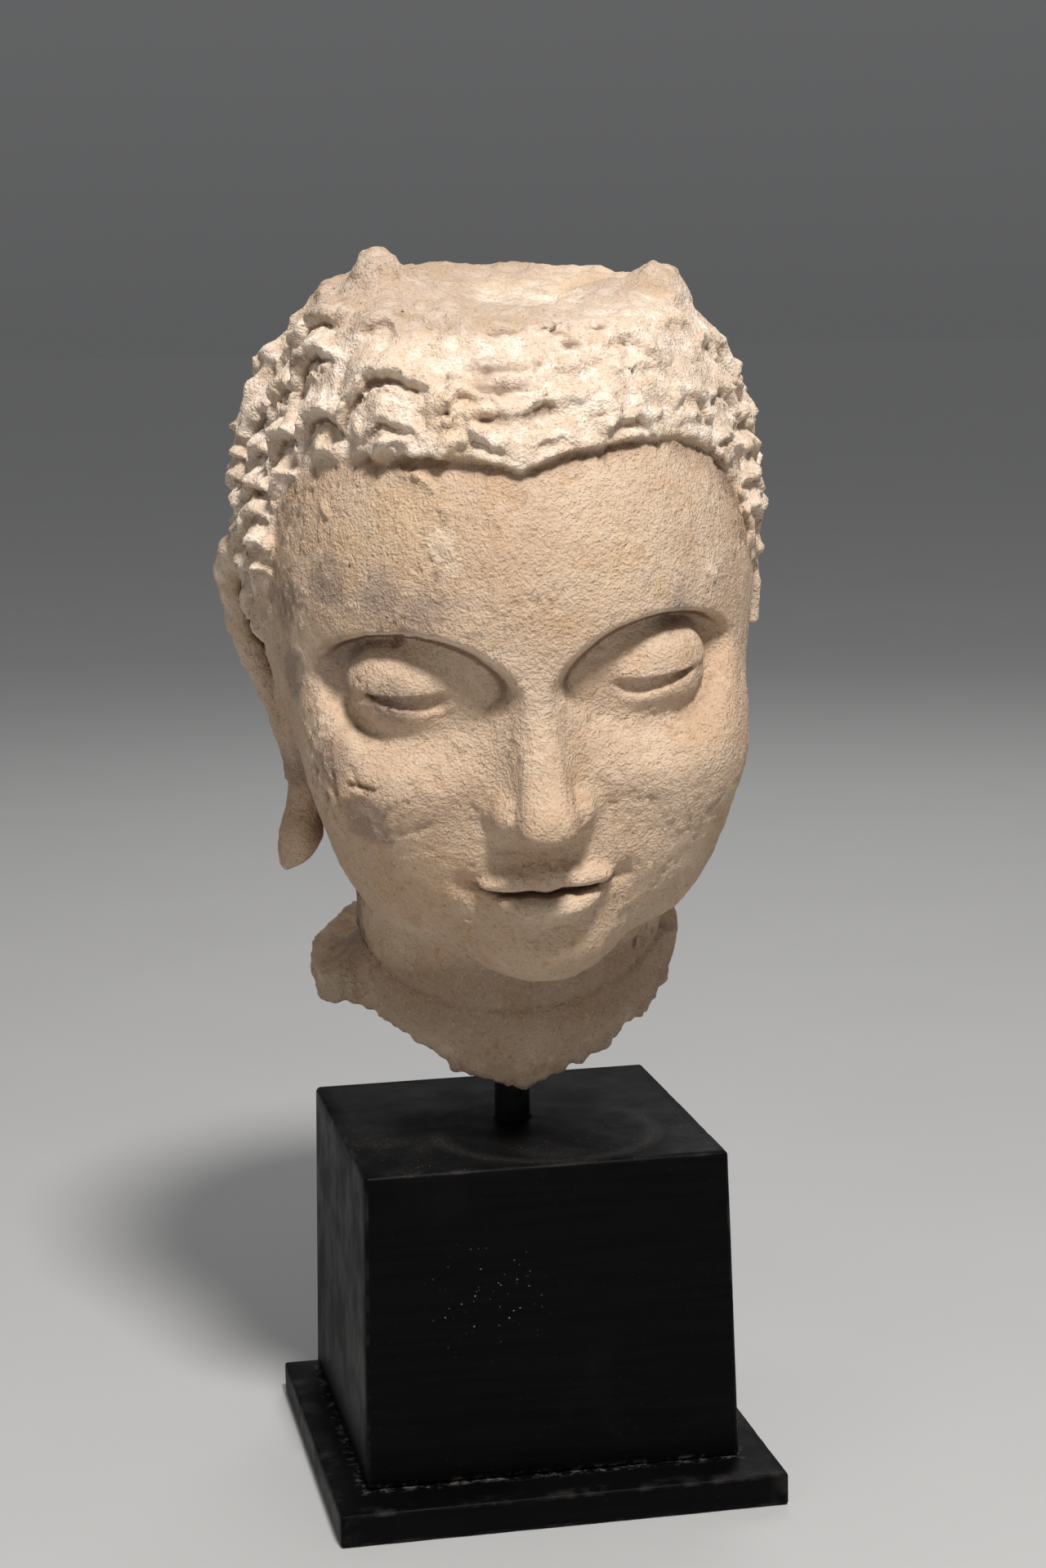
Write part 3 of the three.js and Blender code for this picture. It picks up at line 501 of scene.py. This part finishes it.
def attribute(me, name, values):
    a = me.attributes.new(name, "FLOAT", "POINT")
    a.data.foreach_set("value", values.astype(f32))


def applied(obj):
    """The object's mesh with its modifiers, as a plain mesh."""
    dg = bpy.context.evaluated_depsgraph_get()
    me = bpy.data.meshes.new_from_object(obj.evaluated_get(dg), depsgraph=dg)
    obj.modifiers.clear()
    old = obj.data
    obj.data = me
    bpy.data.meshes.remove(old)
    return me


STEP = 0.8
F, lo = narrow(head, (-88, -102, -122), (88, 104, 116), STEP)
V, Q = surface_nets(F, lo, STEP)
del F
N = normals_of(V, Q)
x, y, z = (V[:, i].astype(f32) for i in range(3))

# sandy skin: grain, hand-made unevenness and the coarser decay of the hair
g_edge = edge_of_hair(x, z)
hair_mask = np.where(y < 24, sst(-0.5, 2.5, g_edge), 1.0) * sst(-3, 2, z - hair_end(y))
broken = np.maximum(sst(-99, -104, z - 0.075 * (y + 42)), sst(96, 100, z))
rough = 0.155 + 0.115 * hair_mask + 0.32 * broken + 0.08 * sst(-60, -85, z)
disp = rough * (noise(x, y, z, 1.9, 1) + 0.9 * noise(x, y, z, 3.4, 2)) \
    + 0.20 * hair_mask * noise(x * 0.45, y * 0.45, z * 1.7, 2.6, 5) + (0.16 + 0.15 * hair_mask) * noise(x, y, z, 8.0, 3) + 0.30 * noise(x, y, z, 24.0, 4)
# flaked and peeling skin, finest on the side that faces the light least
peel = sst(0.11, 0.0, np.abs(noise(x, y, z, 3.6, 6))) * sst(0.0, 0.35, noise(x, y, z, 13.0, 7) + 0.25 * sst(10, -50, x))
pore = sst(0.42, 0.62, noise(x, y, z, 1.7, 8)) * sst(-0.1, 0.4, noise(x, y, z, 9.0, 9))
face_mask = (1 - hair_mask) * (1 - broken)
disp = disp + face_mask * (0.38 * peel - 0.50 * pore)
# single scars: raised flakes (+) and gouges (-), as line pieces on the skin
SCARS = [((-29.0, -55.6, 65.3), (-25.5, -58.2, 65.0), 0.9, 0.9), ((-25.5, -58.2, 65.0), (-21.8, -61.7, 62.6), 0.9, 1.0),
         ((-22.5, -60.0, 64.6), (-20.4, -61.1, 64.3), 0.6, 0.6), ((-49.6, -41.5, 55.0), (-47.8, -43.4, 52.6), 1.1, 0.9),
         ((-20.6, -65.5, 58.2), (-18.4, -66.3, 57.0), 0.8, 0.8), ((-21.0, -66.6, 54.1), (-21.0, -66.6, 53.9), 0.7, -0.9),
         ((48.4, -52.0, 33.2), (50.0, -50.6, 30.8), 1.5, 0.8), ((-48.6, -63.4, -13.6), (-42.8, -67.3, -14.4), 0.8, -1.4),
         ((-47.5, -64.6, -15.2), (-43.5, -67.0, -15.8), 0.6, 0.45), ((-52.6, -58.8, -11.5), (-51.6, -59.4, -21.0), 0.7, -0.9),
         ((-53.8, -57.0, -14.0), (-52.4, -58.5, -18.0), 0.6, -0.8), ((-47.9, -62.9, -9.0), (-46.2, -65.0, -13.4), 0.6, -0.8),
         ((-35.0, -70.0, -30.0), (-31.0, -71.0, -32.5), 0.6, 0.5), ((-24.0, -66.0, 46.0), (-19.0, -68.5, 44.0), 0.6, 0.4)]
rs = np.random.RandomState(3)
trail = np.array([(-58.6, -43.4, -3.7), (-56.8, -51.0, -10.3), (-55.2, -54.3, -18.4), (-53.6, -54.3, -25.4)])
for k in range(34):
    q = rs.uniform(0, 2.999)
    a = trail[int(q)] * (1 - q % 1) + trail[int(q) + 1] * (q % 1) + rs.uniform(-1, 1, 3) * (2.2, 2.2, 1.0)
    SCARS.append((tuple(a), tuple(a + rs.uniform(-1, 1, 3) * (0.5, 0.5, 2.0)), rs.uniform(0.5, 0.9), -rs.uniform(0.4, 0.9)))
for a, b, w, h in SCARS:
    m = (np.abs(x - a[0]) < 12) & (np.abs(z - a[2]) < 14) & (y < 0)
    d = capsule(x[m], y[m] * 0.6, z[m], (a[0], a[1] * 0.6, a[2]), (b[0], b[1] * 0.6, b[2]), 0.0, 0.0)
    disp[m] += h * np.exp(-(d / w) ** 2)
V = V + N * disp[:, None]
P = V @ HEAD_TURN.T + HEAD_AT
me = to_mesh("stucco", P / 1000.0, Q)
head_obj = bpy.data.objects.new("stucco_head_fine", me)
scene.collection.objects.link(head_obj)
dec = head_obj.modifiers.new("fewer", "DECIMATE")
dec.ratio = min(1.0, 192000 / (2.0 * len(Q)))
me = applied(head_obj)
me.name = "stucco"
print("head triangles", sum(len(p.vertices) - 2 for p in me.polygons))
smooth(me)

co = np.empty(len(me.vertices) * 3, f32)
me.vertices.foreach_get("co", co)
row = co.reshape(-1, 3) * 1000.0
nr = np.empty(len(me.vertices) * 3, f32)
me.vertex_normals.foreach_get("vector", nr)
nr = nr.reshape(-1, 3)
own = (row - HEAD_AT) @ HEAD_TURN
n_own = nr @ HEAD_TURN
x, y, z = (own[:, i].astype(f32) for i in range(3))


def hollow(d):
    """1 in a recess that the field narrows within d mm, 0 on the open surface, negative on a crest."""
    q = (own + n_own * d).astype(f32)
    i = (own - n_own * d).astype(f32)
    return 0.5 * ((d - head(q[:, 0], q[:, 1], q[:, 2])) + (-d - head(i[:, 0], i[:, 1], i[:, 2]))) / d


g_edge = edge_of_hair(x, z)
hair_mask = np.where(y < 24, sst(-0.5, 2.5, g_edge), 1.0) * sst(-3, 2, z - hair_end(y))
attribute(me, "hair", np.clip(hair_mask * (0.35 + 0.65 * sst(50, 5, y) * sst(15, 55, z)), 0, 1))
c1 = hollow(2.5)
c2 = hollow(7.0)
c3 = hollow(22.0)
# cavity: above 0 in recesses, below 0 on crests; the stucco colour uses it for dirt with painted shade in recesses and
# a painted highlight on crests
attribute(me, "cavity", np.clip(0.6 * c1 + 0.6 * c2, -1, 1))
# painted shade under the chin and across the front of the neck, from the wide hollow below the jaw and a band low on
# the neck
attribute(me, "painted_chin_shade", np.clip(np.clip(c3, 0, 1) * sst(-30, -70, z) + 0.17 * sst(-70, -80, z + 0.004 * x * x) * sst(-112, -94, z) * sst(14, -6, y), 0, 1))

# stains, pale patches and one painted highlight: centre, radius in mm
TINTS = {
    "stain": [(-60.6, -32.4, 26.8, 9), (-49.9, -49.6, 35.3, 9), (-38.1, -62.4, 34.8, 8), (-44.9, -47.3, 16.6, 10), (-59.9, -35.0, 9.5, 9),
              (-26.5, -71.2, 31.0, 8), (-44.4, -65.8, -22.0, 8), (-36.0, -66.4, 8.6, 8), (-52.0, -58.0, -8.0, 8), (38.0, -60.0, 26.0, 7),
              (-45.0, 5.0, -88.0, 10), (-62.0, 2.0, -30.0, 8), (40.0, -58.0, -20.0, 10)],
    # pale: cream patches and chips; the spot at (-12.6, -62.3, 79.2) on the front hair is a painted highlight
    "pale": [(-21.1, -68.8, 49.0, 5.5), (-18.5, -70.0, 44.5, 3.5), (-4.0, -43.4, -108.4, 4.0), (3.0, -42.7, -107.4, 4.0), (49.3, -51.3, 32.0, 2.8),
             (-12.6, -62.3, 79.2, 3.4), (-56.6, -7.7, -93.4, 7), (-46.8, -12.5, -98.1, 5), (-28.0, -36.0, -106.0, 4.5), (10.4, -39.4, 99.1, 5)],
    "dark": [(-54.0, -16.9, 87.2, 3.6), (-55.4, -30.0, 77.9, 3.0), (-57.7, -30.9, 75.5, 3.2), (-35.9, -52.1, 75.5, 4.0), (-69.4, 12.2, 66.6, 3.5),
             (-64.6, -33.1, 50.6, 4.5), (-33.5, -21.0, 98.6, 2.8), (-38.0, -40.0, 85.0, 2.8), (-71.0, 8.0, 60.0, 3.2)],
    "ochre": [(-15.0, -59.5, 80.0, 8), (-30.0, -61.0, 56.0, 10), (-42.0, -50.0, 47.0, 9), (20.0, -66.0, 40.0, 8), (-26.0, -64.0, -40.0, 9), (30.0, 20.0, 90.0, 14)],
}
wobble = 1 + 0.55 * noise(x, y, z, 4.0, 41) + 0.35 * noise(x, y, z, 1.9, 42)
for key, spots in TINTS.items():
    v = np.zeros(len(x), f32)
    for cx, cy, cz, r in spots:
        v = np.maximum(v, np.exp(-(((x - cx) ** 2 + (y - cy) ** 2 + (z - cz) ** 2) / (r * r)) * wobble))
    attribute(me, key, np.clip(v, 0, 1))
attribute(me, "broken", np.clip(np.maximum(sst(4.5, 0.5, z - np.interp(x, BREAK_X, BREAK_Z) - 0.075 * (y + 42)), sst(95, 98, z)), 0, 1))


# ------------------------------------------------------------------ materials
def new_material(name):
    m = bpy.data.materials.new(name)
    m.use_nodes = True
    nt = m.node_tree
    nt.nodes.clear()
    out = nt.nodes.new("ShaderNodeOutputMaterial")
    bsdf = nt.nodes.new("ShaderNodeBsdfPrincipled")
    nt.links.new(bsdf.outputs[0], out.inputs[0])
    return m, nt, bsdf


class Net:
    """Short names for building node trees."""

    def __init__(self, nt):
        self.nt = nt
        self.place = nt.nodes.new("ShaderNodeTexCoord").outputs["Object"]

    def link(self, a, b):
        if hasattr(a, "is_output"):
            self.nt.links.new(a, b)
        else:
            b.default_value = a

    def noise(self, mm, detail=3.0, rough=0.5, stretch=None, distortion=0.0, w=None):
        n = self.nt.nodes.new("ShaderNodeTexNoise")
        n.inputs["Scale"].default_value = 1000.0 / mm
        n.inputs["Detail"].default_value = detail
        n.inputs["Roughness"].default_value = rough
        n.inputs["Distortion"].default_value = distortion
        v = self.place
        if stretch or w:
            m = self.nt.nodes.new("ShaderNodeMapping")
            self.nt.links.new(v, m.inputs["Vector"])
            if stretch:
                m.inputs["Scale"].default_value = stretch
            if w:
                m.inputs["Location"].default_value = w
            v = m.outputs[0]
        self.nt.links.new(v, n.inputs["Vector"])
        return n.outputs["Fac"]

    def cells(self, mm, feature="F1", w=None):
        n = self.nt.nodes.new("ShaderNodeTexVoronoi")
        n.feature = feature
        n.inputs["Scale"].default_value = 1000.0 / mm
        v = self.place
        if w:
            m = self.nt.nodes.new("ShaderNodeMapping")
            self.nt.links.new(v, m.inputs["Vector"])
            m.inputs["Location"].default_value = w
            v = m.outputs[0]
        self.nt.links.new(v, n.inputs["Vector"])
        return n.outputs["Distance"]

    def ramp(self, v, a, b, lo=0.0, hi=1.0):
        n = self.nt.nodes.new("ShaderNodeMapRange")
        n.interpolation_type = "SMOOTHSTEP"
        self.link(v, n.inputs["Value"])
        n.inputs["From Min"].default_value = a
        n.inputs["From Max"].default_value = b
        n.inputs["To Min"].default_value = lo
        n.inputs["To Max"].default_value = hi
        return n.outputs["Result"]

    def math(self, op, a, b=0.0, clamp=False):
        n = self.nt.nodes.new("ShaderNodeMath")
        n.operation = op
        n.use_clamp = clamp
        self.link(a, n.inputs[0])
        self.link(b, n.inputs[1])
        return n.outputs[0]

    def mix(self, fac, a, b, mode="MIX"):
        n = self.nt.nodes.new("ShaderNodeMix")
        n.data_type = "RGBA"
        n.blend_type = mode
        self.link(fac, n.inputs[0])
        self.link(a if hasattr(a, "is_output") else (*a, 1.0), n.inputs[6])
        self.link(b if hasattr(b, "is_output") else (*b, 1.0), n.inputs[7])
        return n.outputs[2]

    def attr(self, name):
        n = self.nt.nodes.new("ShaderNodeAttribute")
        n.attribute_name = name
        return n.outputs["Fac"]

    def bump(self, height, strength, mm, normal=None):
        n = self.nt.nodes.new("ShaderNodeBump")
        n.inputs["Strength"].default_value = strength
        n.inputs["Distance"].default_value = mm / 1000.0
        self.link(height, n.inputs["Height"])
        if normal is not None:
            self.nt.links.new(normal, n.inputs["Normal"])
        return n.outputs[0]


def lin(r, g, b):
    """sRGB 0..255 to linear."""
    return tuple(((c / 255 + 0.055) / 1.055) ** 2.4 if c > 10.3 else c / 255 / 12.92 for c in (r, g, b))


stucco, nt, bsdf = new_material("dry_stucco")
N_ = Net(nt)
broad = N_.noise(38, 4, 0.6)
mid = N_.noise(11, 4, 0.6, w=(0.3, 0.1, 0.2))
patch = N_.noise(5.5, 5, 0.65, w=(0.6, 0.2, 0.9))
fine = N_.noise(1.6, 3, 0.6)
sand = N_.noise(0.75, 2, 0.5)
cav = N_.attr("cavity")
hairy = N_.attr("hair")
col = N_.mix(N_.ramp(broad, 0.35, 0.65), lin(197, 168, 141), lin(208, 183, 158))
col = N_.mix(N_.ramp(mid, 0.50, 0.72, 0, 0.5), col, lin(190, 154, 118))
col = N_.mix(N_.ramp(patch, 0.54, 0.70, 0, 0.45), col, lin(214, 194, 170))
col = N_.mix(N_.ramp(patch, 0.42, 0.30, 0, 0.35), col, lin(178, 146, 116))
hcol = N_.mix(N_.ramp(patch, 0.45, 0.62), lin(217, 197, 176), lin(238, 223, 208))
hcol = N_.mix(N_.ramp(mid, 0.52, 0.70, 0, 0.55), hcol, lin(204, 176, 144))
col = N_.mix(N_.math("MULTIPLY", hairy, 0.85), col, hcol)
col = N_.mix(N_.math("MULTIPLY", N_.attr("ochre"), 0.45), col, lin(204, 168, 126))
col = N_.mix(N_.ramp(N_.math("MULTIPLY", N_.attr("stain"), N_.ramp(mid, 0.25, 0.6, 0.5, 1.2)), 0.2, 0.9, 0, 0.55), col, lin(138, 120, 112))
# pale cream patches, one of them a painted highlight on the front hair
col = N_.mix(N_.ramp(N_.math("MULTIPLY", N_.attr("pale"), N_.ramp(fine, 0.3, 0.6, 0.6, 1.25)), 0.30, 0.60, 0, 0.55), col, lin(222, 202, 178))
# recesses darker: dirt and painted shade
col = N_.mix(N_.ramp(cav, 0.06, 0.55, 0, 0.80), col, lin(112, 84, 62))
# painted shade under the chin and on the front of the neck
col = N_.mix(N_.ramp(N_.attr("painted_chin_shade"), 0.02, 0.36, 0, 0.85), col, lin(98, 76, 57))
# crests lighter: painted highlight
col = N_.mix(N_.ramp(cav, -0.12, -0.60, 0, 0.45), col, lin(236, 220, 202))
col = N_.mix(N_.ramp(N_.math("MULTIPLY", N_.attr("dark"), N_.ramp(fine, 0.3, 0.65, 0.5, 1.3)), 0.35, 0.85, 0, 0.62), col, lin(96, 84, 78))
col = N_.mix(N_.math("MULTIPLY", N_.attr("broken"), 0.45), col, lin(150, 122, 98))
col = N_.mix(N_.ramp(fine, 0.46, 0.30, 0, 0.34), col, lin(140, 108, 80))
col = N_.mix(N_.ramp(sand, 0.58, 0.74, 0, 0.34), col, lin(234, 220, 200))
col = N_.mix(N_.ramp(N_.cells(4.2), 0.10, 0.04, 0, 0.55), col, lin(104, 80, 60))
nt.links.new(col, bsdf.inputs["Base Color"])
bsdf.inputs["Roughness"].default_value = 0.93
bsdf.inputs["Specular IOR Level"].default_value = 0.25
bm = N_.bump(sand, 1.0, 0.42)
bm = N_.bump(fine, 1.0, 0.62, bm)
bm = N_.bump(N_.noise(3.0, 4, 0.65), 0.65, 0.9, bm)
nt.links.new(bm, bsdf.inputs["Normal"])
me.materials.append(stucco)

black, nt, bsdf = new_material("black_painted_wood")
N_ = Net(nt)
grain = N_.noise(2.2, 3, 0.55, stretch=(0.06, 0.06, 1.0))
worn = N_.noise(14, 4, 0.6)
speck = N_.noise(1.1, 2, 0.5)
sep = nt.nodes.new("ShaderNodeSeparateXYZ")
nt.links.new(N_.place, sep.inputs[0])
px, py, pz = sep.outputs[0], sep.outputs[1], sep.outputs[2]


def near(cx, cy, cz, r):
    """1 close to a point, fading to 0 at the radius; metres."""
    n = nt.nodes.new("ShaderNodeVectorMath")
    n.operation = "DISTANCE"
    nt.links.new(N_.place, n.inputs[0])
    n.inputs[1].default_value = (cx, cy, cz)
    return N_.ramp(n.outputs["Value"], r, r * 0.3)


col = N_.mix(N_.ramp(grain, 0.3, 0.7), (0.0017, 0.0017, 0.0020), (0.0028, 0.0027, 0.0029))
smudge = N_.noise(46, 4, 0.55, distortion=0.8)
col = N_.mix(N_.ramp(smudge, 0.56, 0.76, 0, 0.16), col, (0.012, 0.012, 0.013))
# dust: a thin film on level tops, more along the joint between block and slab, a few specks
ring = N_.math("SUBTRACT", 1.0, N_.math("MULTIPLY", N_.math("ABSOLUTE", N_.math("SUBTRACT", N_.math("SQRT", N_.math("ADD", N_.math("POWER", N_.math("ADD", px, -0.006), 2.0), N_.math("POWER", N_.math("ADD", py, 0.012), 2.0))), 0.030)), 260.0), clamp=True)
top = N_.ramp(pz, 0.0948, 0.0953)
film = N_.math("MULTIPLY", top, N_.math("ADD", N_.ramp(smudge, 0.45, 0.75, 0, 0.35), N_.math("MULTIPLY", ring, 0.30)))
col = N_.mix(N_.math("MULTIPLY", film, N_.ramp(speck, 0.35, 0.65, 0.4, 1.0)), col, (0.060, 0.058, 0.055))
reach = N_.math("MAXIMUM", N_.math("ABSOLUTE", px), N_.math("ABSOLUTE", N_.math("ADD", py, -0.0057)))
joint = N_.math("MULTIPLY", N_.math("MULTIPLY", N_.ramp(pz, 0.0112, 0.0094), N_.ramp(pz, 0.0088, 0.0092)), N_.ramp(reach, 0.0550, 0.0520))
col = N_.mix(N_.math("MULTIPLY", joint, N_.ramp(N_.noise(3.0, 4, 0.7), 0.48, 0.70, 0, 0.8)), col, (0.13, 0.12, 0.11))
dots = N_.math("MULTIPLY", N_.ramp(N_.cells(1.5), 0.20, 0.10), N_.ramp(N_.noise(3.2, 3, 0.6), 0.50, 0.58))
where = N_.math("ADD", N_.math("MULTIPLY", near(-0.018, -0.046, 0.060, 0.019), 1.0), N_.math("MULTIPLY", top, 0.28), clamp=True)
where = N_.math("ADD", where, 0.03, clamp=True)
col = N_.mix(N_.math("MULTIPLY", dots, where), col, (0.22, 0.21, 0.19))
# edges lighter: worn paint and a painted sheen
edge_wear_and_sheen = N_.math("MULTIPLY", N_.attr("edge"), N_.ramp(N_.noise(9.0, 4, 0.6), 0.46, 0.72, 0, 0.42))
col = N_.mix(edge_wear_and_sheen, col, (0.050, 0.046, 0.042))
nt.links.new(col, bsdf.inputs["Base Color"])
nt.links.new(N_.ramp(worn, 0.3, 0.7, 0.40, 0.56), bsdf.inputs["Roughness"])
bsdf.inputs["Specular IOR Level"].default_value = 0.05
bm = N_.bump(grain, 0.20, 0.12)
bm = N_.bump(N_.noise(7.0, 2, 0.5), 0.15, 0.25, bm)
nt.links.new(bm, bsdf.inputs["Normal"])

steel, nt, bsdf = new_material("blackened_steel")
N_ = Net(nt)
nt.links.new(N_.mix(N_.noise(6, 3, 0.5), (0.012, 0.012, 0.013), (0.030, 0.029, 0.028)), bsdf.inputs["Base Color"])
bsdf.inputs["Metallic"].default_value = 0.6
nt.links.new(N_.ramp(N_.noise(4, 3, 0.5), 0.3, 0.7, 0.38, 0.58), bsdf.inputs["Roughness"])
nt.links.new(N_.bump(N_.noise(1.2, 2, 0.5), 0.15, 0.1), bsdf.inputs["Normal"])


# ------------------------------------------------------------------ plinth: blocks with worn, rounded edges
def worn_block(name, wide0, wide1, z0, z1, y_mid, radius, seed, lines=26, soft=0.0):
    """A square block, wide0 below and wide1 above, its faces gridded and its edges rounded and a little worn."""
    inner = np.linspace(-1, 1, lines)
    V, Q, index = [], [], {}
    h = (z1 - z0) / 2
    half = max(wide0, wide1) / 2

    def marks(size):
        e = radius / size
        m = [-1, -1 + e * 0.25, -1 + e * 0.55, -1 + e]
        mid = list(np.linspace(-1 + e, 1 - e, lines)[1:-1])
        return m + mid + [-v for v in reversed(m)]
    mx, mz = marks(half), marks(h)

    def vertex(a, b, c):
        key = (round(a, 6), round(b, 6), round(c, 6))
        if key not in index:
            index[key] = len(V)
            V.append(key)
        return index[key]

    def sheet(m1, m2, put):
        for i in range(len(m1) - 1):
            for j in range(len(m2) - 1):
                Q.append([vertex(*put(m1[i], m2[j])), vertex(*put(m1[i + 1], m2[j])),
                          vertex(*put(m1[i + 1], m2[j + 1])), vertex(*put(m1[i], m2[j + 1]))])
    sheet(mx, mx, lambda a, b: (a, b, 1))
    sheet(mx, mx, lambda a, b: (b, a, -1))
    sheet(mx, mz, lambda a, b: (a, -1, b))
    sheet(mz, mx, lambda a, b: (b, 1, a))
    sheet(mx, mz, lambda a, b: (1, a, b))
    sheet(mz, mx, lambda a, b: (-1, b, a))
    V = np.array(V, float)
    Q = np.array(Q)
    size = np.array([half, half, h])
    p = V * size
    core = np.clip(p, -(size - radius), size - radius)
    d = p - core
    L = np.linalg.norm(d, axis=1)
    edge = (np.abs(d) > 1e-9).sum(1) > 1
    n = d / (L[:, None] + 1e-12)
    p = core + n * radius
    q = (p + [0, y_mid, z0 + h]).astype(f32)
    # edges lose a little, faces wave very slightly
    w = np.where(edge, 0.10 + 0.16 * np.clip(noise(q[:, 0], q[:, 1], q[:, 2], 3.0, seed), 0, 1)
                 + 0.35 * np.clip(noise(q[:, 0], q[:, 1], q[:, 2], 9.0, seed + 1) - 0.45, 0, 1), 0)
    p = p - n * w[:, None] + n * (0.04 * noise(q[:, 0], q[:, 1], q[:, 2], 30.0, seed + 2))[:, None]
    k = (p[:, 2] + h) / (2 * h)
    scale = (wide0 + (wide1 - wide0) * k) / (2 * half)
    p[:, 0] *= scale
    p[:, 1] *= scale
    p += [0, y_mid, z0 + h]
    p[:, 2] = np.maximum(p[:, 2], z0)
    me = to_mesh(name, p / 1000.0, Q)
    smooth(me)
    if len(me.vertices) == len(p):
        attribute(me, "edge", np.where(edge, 1.0, 0.0))
    o = bpy.data.objects.new(name, me)
    scene.collection.objects.link(o)
    me.materials.append(black)
    return o


def turned(name, profile, centre, sides, material):
    """A closed body of revolution about Z from (radius, height) pairs in mm, starting and ending on the axis."""
    V, Q = [], []
    rings = []
    for r, h in profile:
        if r == 0:
            rings.append([len(V)])
            V.append((centre[0], centre[1], h))
        else:
            rings.append(list(range(len(V), len(V) + sides)))
            for i in range(sides):
                a = 2 * math.pi * i / sides
                V.append((centre[0] + r * math.cos(a), centre[1] + r * math.sin(a), h))
    bm = bmesh.new()
    vs = [bm.verts.new(Vector(v) / 1000.0) for v in V]
    for a, b in zip(rings[:-1], rings[1:]):
        for i in range(sides):
            j = (i + 1) % sides
            if len(a) == 1:
                bm.faces.new((vs[a[0]], vs[b[j]], vs[b[i]]))
            elif len(b) == 1:
                bm.faces.new((vs[a[i]], vs[a[j]], vs[b[0]]))
            else:
                bm.faces.new((vs[a[i]], vs[a[j]], vs[b[j]], vs[b[i]]))
    bmesh.ops.recalc_face_normals(bm, faces=bm.faces)
    me = bpy.data.meshes.new(name)
    bm.to_mesh(me)
    bm.free()
    smooth(me)
    me.materials.append(material)
    o = bpy.data.objects.new(name, me)
    scene.collection.objects.link(o)
    return o


slab = worn_block("slab_painted", 123.0, 123.0, 0.0, 9.2, 0.0, 1.0, 31)
block = worn_block("block_painted", 103.7, 100.0, 9.2, 95.7, 5.7, 1.2, 41)
cutter = turned("cutter", [(0, ROD_BOTTOM - 0.3), (ROD_R + 0.3, ROD_BOTTOM - 0.3), (ROD_R + 0.3, 110), (0, 110)], (0, ROD_Y), 48, black)
cut = block.modifiers.new("socket", "BOOLEAN")
cut.operation = "DIFFERENCE"
cut.solver = "EXACT"
cut.object = cutter
applied(block)
bpy.data.objects.remove(cutter)
rod = turned("rod_steel", [(0, ROD_BOTTOM), (ROD_R - 0.5, ROD_BOTTOM), (ROD_R, ROD_BOTTOM + 0.5), (ROD_R, ROD_TOP - 0.8),
                           (ROD_R - 0.8, ROD_TOP), (0, ROD_TOP)], (0, ROD_Y), 48, steel)

for piece, node, slot in ((head_obj, "stucco_head", "stucco"), (rod, "mount_rod", "rod_steel"),
                          (block, "plinth_block", "black_wood"), (slab, "plinth_slab", "black_wood")):
    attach(piece, "root")
    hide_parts(node)

# ------------------------------------------------------------------ floor, light
floor_mat, nt, bsdf = new_material("pale_floor")
N_ = Net(nt)
nt.links.new(N_.mix(N_.noise(90, 3, 0.5), (0.45, 0.45, 0.447), (0.48, 0.48, 0.477)), bsdf.inputs["Base Color"])
bsdf.inputs["Roughness"].default_value = 0.85
fm = bpy.data.meshes.new("floor")
fm.from_pydata([(-30, -30, 0), (30, -30, 0), (30, 30, 0), (-30, 30, 0)], [], [(0, 1, 2, 3)])
fm.materials.append(floor_mat)
floor = bpy.data.objects.new("floor", fm)
scene.collection.objects.link(floor)

world = bpy.data.worlds.new("studio")
scene.world = world
world.use_nodes = True
bg = world.node_tree.nodes["Background"]
wn = world.node_tree
sky = wn.nodes.new("ShaderNodeTexCoord")
sep = wn.nodes.new("ShaderNodeSeparateXYZ")
up = wn.nodes.new("ShaderNodeMapRange")
up.inputs["To Min"].default_value = 0.108
up.inputs["To Max"].default_value = 0.28
wn.links.new(sky.outputs["Generated"], sep.inputs[0])
wn.links.new(sep.outputs["Z"], up.inputs["Value"])
wn.links.new(up.outputs["Result"], bg.inputs[1])
bg.inputs[0].default_value = (0.97, 0.98, 1.0, 1)


def area(name, at, to, size, watts, colour=(1, 1, 1)):
    l = bpy.data.lights.new(name, "AREA")
    l.shape = "DISK"
    l.size = size
    l.energy = watts
    l.color = colour
    o = bpy.data.objects.new(name, l)
    scene.collection.objects.link(o)
    o.location = at
    o.rotation_euler = (Vector(to) - Vector(at)).to_track_quat("-Z", "Y").to_euler()
    return o


area("key", (0.06, -0.90, 1.42), (0, 0, 0.24), 0.26, 28.5, (1.0, 0.975, 0.95))
area("fill", (-1.1, -0.9, 0.55), (0, 0, 0.22), 0.9, 1.3, (1.0, 0.98, 0.96))
area("back", (0.4, 1.1, 1.1), (0, 0, 0.22), 0.8, 4)

scene.view_settings.view_transform = "Standard"
